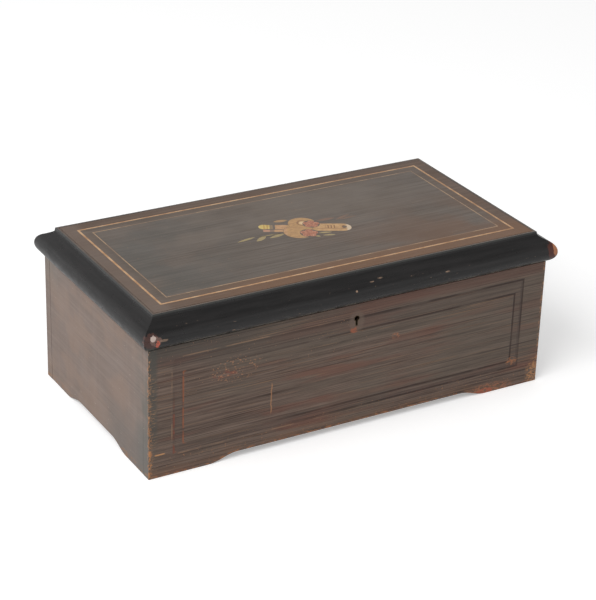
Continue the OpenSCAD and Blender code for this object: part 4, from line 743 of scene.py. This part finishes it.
leaf = Finish("marquetry_leaves", Specular_IOR_Level=0.25)
veins = leaf.marks((4, 1.2, 4), 99, 3)
leaf_skin = leaf.shade(veins, [(0.35, "8f7f5e"), (0.65, "a8966c")])
brown_leaves = leaf.both(leaf.step(leaf.x, -6, 6), leaf.step(leaf.y, -8, 0))
leaf_skin = leaf.mix(brown_leaves, leaf_skin, "7d6353")
tan_leaves = leaf.both(leaf.step(leaf.x, 4, -4), leaf.step(leaf.y, 8, 16))
leaf_skin = leaf.mix(tan_leaves, leaf_skin, "a68460")
leaf_skin = leaf.mix(leaf.both(leaf.step(leaf.x, 42, 62), 0.5), leaf_skin, "685a4e")
leaf.colour(leaf_skin)
leaf.rough(veins, 0.36, 0.5)
leaf.relief(veins, 0.03)
print("boxwood and marquetry woods mixed")

# %% [markdown]
# ## Brass and steel
# A movement is a show of metals: lacquered brass that has mellowed, ground steel teeth, blued
# screws. All are the Metallic setting at 1, so what tells them apart is tone and the direction
# of the tool marks. Tarnish is a slow noise that browns the brass and makes it duller at once.

# %% Metal recipe
def metal(name, bright, dull, tarnish, low, high, sizes=(6, 6, 6), depth=0.01, seed=111):
    """A worked metal: tool marks of some size, and tarnish in slow patches."""
    made = Finish(name, Metallic=1.0)
    tool = made.marks(sizes, seed, 3)
    slow = made.marks((26, 26, 26), seed + 5, 4)
    tone = made.shade(tool, [(0.35, dull), (0.65, bright)])
    tone = made.mix(made.both(made.step(slow, 0.5, 0.68), 0.6), tone, tarnish)
    spots = made.both(made.spots((2.2, 2.2, 2.2), seed + 9, 0.03), 0.5)
    made.colour(made.mix(spots, tone, tarnish))
    halves = [made.math("MULTIPLY", pattern, 0.5) for pattern in (tool, slow)]
    made.rough(made.math("ADD", *halves), low, high)
    made.relief(tool, depth)
    return made


brass = metal("mellow_brass", "e0bb6a", "c79f52", "9c7436", 0.22, 0.42)
old_brass = metal("tarnished_brass", "7d6f5c", "4a3e32", "2c241c", 0.45, 0.65)
brushed_brass = metal("brushed_brass", "dcb566", "bd954a", "94703a", 0.26, 0.46,
                      (40, 0.7, 5), 0.02, 121)
turned_brass = metal("turned_brass", "e3bf70", "cba65a", "a17c3e", 0.2, 0.36,
                     (0.5, 20, 20), 0.015, 131)
steel = metal("polished_steel", "c9cacc", "a9abae", "7d7a76", 0.18, 0.36, (4, 4, 4), 0.008, 141)
ground_steel = metal("ground_comb_steel", "c4c7cb", "9fa3a8", "77777a", 0.22, 0.4,
                     (0.5, 30, 5), 0.015, 151)
blued = metal("blued_steel", "35507f", "233457", "4a3e5a", 0.2, 0.34, (3, 3, 3), 0.008, 161)
spring = metal("spring_steel", "6d7480", "4b5058", "5a4c40", 0.28, 0.44, (20, 3, 3), 0.01, 171)
lead = metal("lead", "6e7074", "54565a", "8a8c8e", 0.5, 0.68, (2, 2, 2), 0.04, 181)
print("metals mixed")

# %% [markdown]
# ## Glass and card
# The pane is a plain clear glass with a breath of green. Transmission, roughness and IOR are
# numbers on the shader itself; only faint dust varies. The tune card is a cream card printed
# with a double border and ruled lines, left blank of titles.

# %% Glass and card finishes
CARD_BORDER = (82, 47, 0)  # half length, half depth and middle
RULE_SPACING = 4
glass = Finish("window_glass", Transmission_Weight=1.0, IOR=1.47)
dust = glass.marks((9, 9, 9), 191, 4)
glass.colour(glass.shade(dust, [(0.4, "eef4f0"), (0.7, "e2e8e2")]))
glass.rough(dust, 0.01, 0.05)

card = Finish("printed_card", Specular_IOR_Level=0.2)
fibres = card.marks((3, 3, 3), 193, 4)
stain = card.marks((30, 30, 30), 197, 4)
card_skin = card.shade(fibres, [(0.35, "cdb98f"), (0.65, "dccaa3")])
card_skin = card.mix(card.both(card.step(stain, 0.5, 0.7), 0.6), card_skin, "b3935f")
card_edge = card.frame_line(card.x, card.y, *CARD_BORDER)
card_rim = card.math("MAXIMUM", card.near(card_edge, 1.2, 0.2),
                     card.near(card.math("ADD", card_edge, 3), 0.4, 0.2))
rules = card.both(card.near(card.math("PINGPONG", card.y, RULE_SPACING), 0.3, 0.2),
                  card.step(card.far(card.x), 70, 69.6), card.step(card.far(card.y), 36.5, 36))
ink = card.math("MAXIMUM", card_rim, rules)
card_skin = card.mix(card.both(ink, 0.85), card_skin, "5d3226")
card.colour(card_skin)
card.rough(fibres, 0.6, 0.8)
card.relief(fibres, 0.03)
print("glass and card mixed")

# %% [markdown]
# ## Soft edges
# No real board has a knife edge. The solids from the construction model do, so these are copied
# with their flat faces joined up again, and a Bevel modifier rounds every sharp edge by a
# fraction of a millimetre. That thin highlight is what makes wood look handled. A node group
# could fake it in the shader, but a true bevel also looks right from close by.

# %% Edge rounding helper
WELD = 2e-6                      # points closer than this, in metres, become one
FLAT = math.radians(0.6)         # faces that turn less than this become one
SMOOTH = math.radians(32)        # sharper turns than this stay as edges
ROUNDED_FROM = math.radians(40)  # and sharper ones than this are rounded
END_FACE = 0.1999                # faces further out than this, in metres, are end grain
BODY_OF = {name: solid["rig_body"] for name, solid in nodes.items()}


def rounded(node, width, finish, end_finish=None):
    """A copy of a solid with rounded edges, which stands in for it."""
    source = nodes[node].data
    shape = bmesh.new()
    shape.from_mesh(source)
    bmesh.ops.remove_doubles(shape, verts=shape.verts, dist=WELD)
    bmesh.ops.dissolve_limit(shape, angle_limit=FLAT, verts=shape.verts, edges=shape.edges)
    shape.verts.ensure_lookup_table()
    shape.verts.index_update()
    corners = [vertex.co.copy() for vertex in shape.verts]
    faces = [[vertex.index for vertex in face.verts] for face in shape.faces]
    ends = [abs(face.normal.x) > 0.99 and abs(face.calc_center_median().x) > END_FACE
            for face in shape.faces]
    shape.free()
    mesh = bpy.data.meshes.new("rounded_" + node)
    mesh.from_pydata(corners, [], faces)
    mesh.materials.append(finish.material)
    if end_finish:
        mesh.materials.append(end_finish.material)
        for polygon, is_end in zip(mesh.polygons, ends):
            polygon.material_index = int(is_end)
    mesh.shade_smooth()
    mesh.set_sharp_from_angle(angle=SMOOTH)
    piece = bpy.data.objects.new("rounded_" + node, mesh)
    bpy.context.scene.collection.objects.link(piece)
    bevel = piece.modifiers.new("soft edges", "BEVEL")
    bevel.width = width / MM_PER_METRE
    bevel.segments = 2
    bevel.limit_method = "ANGLE"
    bevel.angle_limit = ROUNDED_FROM
    bevel.harden_normals = True
    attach(piece, BODY_OF[node])
    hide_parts(node)
    return piece


# %% [markdown]
# ## The case
# Front, back, ends, floor and partitions get their rounded copies. The outer boards are handled
# most, so they are rounded most.

# %% Round the case
rounded("front_panel", 0.7, front, end)
rounded("back_panel", 0.7, back_wood, end)
for name in ("left_side_panel", "right_side_panel"):
    rounded(name, 0.5, end)
rounded("bottom_board", 0.5, beech)
for name in ("left_partition", "right_partition"):
    rounded(name, 0.5, inner_wood)
print("case rounded")

# %% [markdown]
# ## The lid's moulding
# Four mitred lengths. The mitres are rounded very little, so the corners still close.

# %% Round the moulding
for side in ("front", "back", "left", "right"):
    rounded("lid_" + side + "_moulding", 0.15, ebony)
rounded("lever_grip", 0.4, ebony)
print("moulding rounded")

# %% [markdown]
# ## The movement's edges
# Cast and milled parts have small chamfers too: half a millimetre on the bedplate and comb
# base, less on the thin plates.

# %% Round the movement
for name, width, finish in (
    ("glass_lid_frame", 0.6, glass_frame_wood), ("bedplate", 0.5, brushed_brass),
    ("bedplate_rails", 0.5, beech), ("bearing_brackets", 0.3, brass),
    ("comb_base", 0.4, brushed_brass), ("lock_case", 0.25, brass),
    ("governor_frame", 0.2, brass), ("spring_barrel", 0.5, turned_brass),
    ("winding_lever", 0.4, steel), ("control_bracket", 0.3, brass),
    ("start_lever", 0.25, steel), ("change_lever", 0.25, steel),
):
    rounded(name, width, finish)
print("movement rounded")

# %% [markdown]
# ## Keyhole lining
# A thread of brass lines the keyhole, flush with the wood. It is swept here as two outlines, one
# inside the other, joined by faces at the front and along the bore. The outline is an arc over
# a slot, the same shape that the key's bit needs.

# %% Keyhole lining
KEY_RADIUS, KEY_SLOT_HALF = 2.74, 1.29
KEY_MIDDLE, KEY_FOOT = 108, 101.01
KEY_STEPS = 28
LINING_FRONT, LINING_BACK, LINING_WALL = -105.95, -103.5, 0.35


def keyhole_points(inset):
    """Outline in x and z, in millimetres, drawn inward by inset."""
    radius, half, foot = KEY_RADIUS - inset, KEY_SLOT_HALF - inset, KEY_FOOT + inset
    start = math.asin(half / radius)
    turn = [start + (2 * math.pi - 2 * start) * k / KEY_STEPS for k in range(KEY_STEPS + 1)]
    points = [(-radius * math.sin(a), KEY_MIDDLE - radius * math.cos(a)) for a in turn]
    return points + [(half, foot), (-half, foot)]


lining = bmesh.new()
rows = []
for inset, y in ((0, LINING_BACK), (0, LINING_FRONT),
                 (LINING_WALL, LINING_FRONT), (LINING_WALL, LINING_BACK)):
    rows.append([lining.verts.new((x / 1000, y / 1000, z / 1000))
                 for x, z in keyhole_points(inset)])
for row, after in zip(rows, rows[1:] + rows[:1]):
    count = len(row)
    for k in range(count):
        lining.faces.new((row[k], row[(k + 1) % count], after[(k + 1) % count], after[k]))
bmesh.ops.recalc_face_normals(lining, faces=lining.faces)
lining_mesh = bpy.data.meshes.new("keyhole_lining")
lining.to_mesh(lining_mesh)
lining.free()
lining_mesh.materials.append(old_brass.material)
keyhole_lining = bpy.data.objects.new("keyhole_lining", lining_mesh)
bpy.context.scene.collection.objects.link(keyhole_lining)
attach(keyhole_lining, BODY_OF["front_panel"])
print("keyhole lining", [round(side * 1000, 1) for side in keyhole_lining.dimensions], "mm")

# %% [markdown]
# ## Finishes for the other solids
# These keep their exact shapes, such as gears, pins and hinges, and only get a finish. A table
# keeps it readable: one finish, and the pieces it goes on.

# %% Finish table
FINISH_TABLE = {
    lid: ["lid_panel"],
    box: ["boxwood_strings"],
    tune: ["marquetry_instruments"],
    petal: ["marquetry_flower"],
    leaf: ["marquetry_leaves"],
    card: ["tune_card"],
    glass: ["glass_pane"],
    brass: ["case_hinge_leaves", "case_hinge_screws", "lid_hinge_leaves", "lid_hinge_screws",
            "tune_card_tacks", "lock_strike", "glass_lid_knob", "glass_lid_hinges",
            "glass_hinge_brackets", "ratchet_wheel", "air_brake"],
    turned_brass: ["cylinder_tube", "cylinder_great_wheel", "barrel_great_wheel",
                   "second_wheel", "screw_wheel"],
    steel: ["hinge_pins", "lock_bolt", "bedplate_screws", "cylinder_arbor", "tune_pins",
            "winding_arbor", "drive_pawl", "winding_click", "endless_screw"],
    ground_steel: ["comb"],
    blued: ["comb_screws"],
    spring: ["mainspring"],
    lead: ["bass_weights"],
}
for finish, names in FINISH_TABLE.items():
    for name in names:
        solid = nodes[name]
        if not solid.material_slots:
            solid.data.materials.append(finish.material)
        for slot in solid.material_slots:
            slot.material = finish.material
dressed = {name for names in FINISH_TABLE.values() for name in names}
left_plain = [name for name, solid in nodes.items()
              if not solid.hide_render and name not in dressed]
print("solids without a finish:", left_plain)
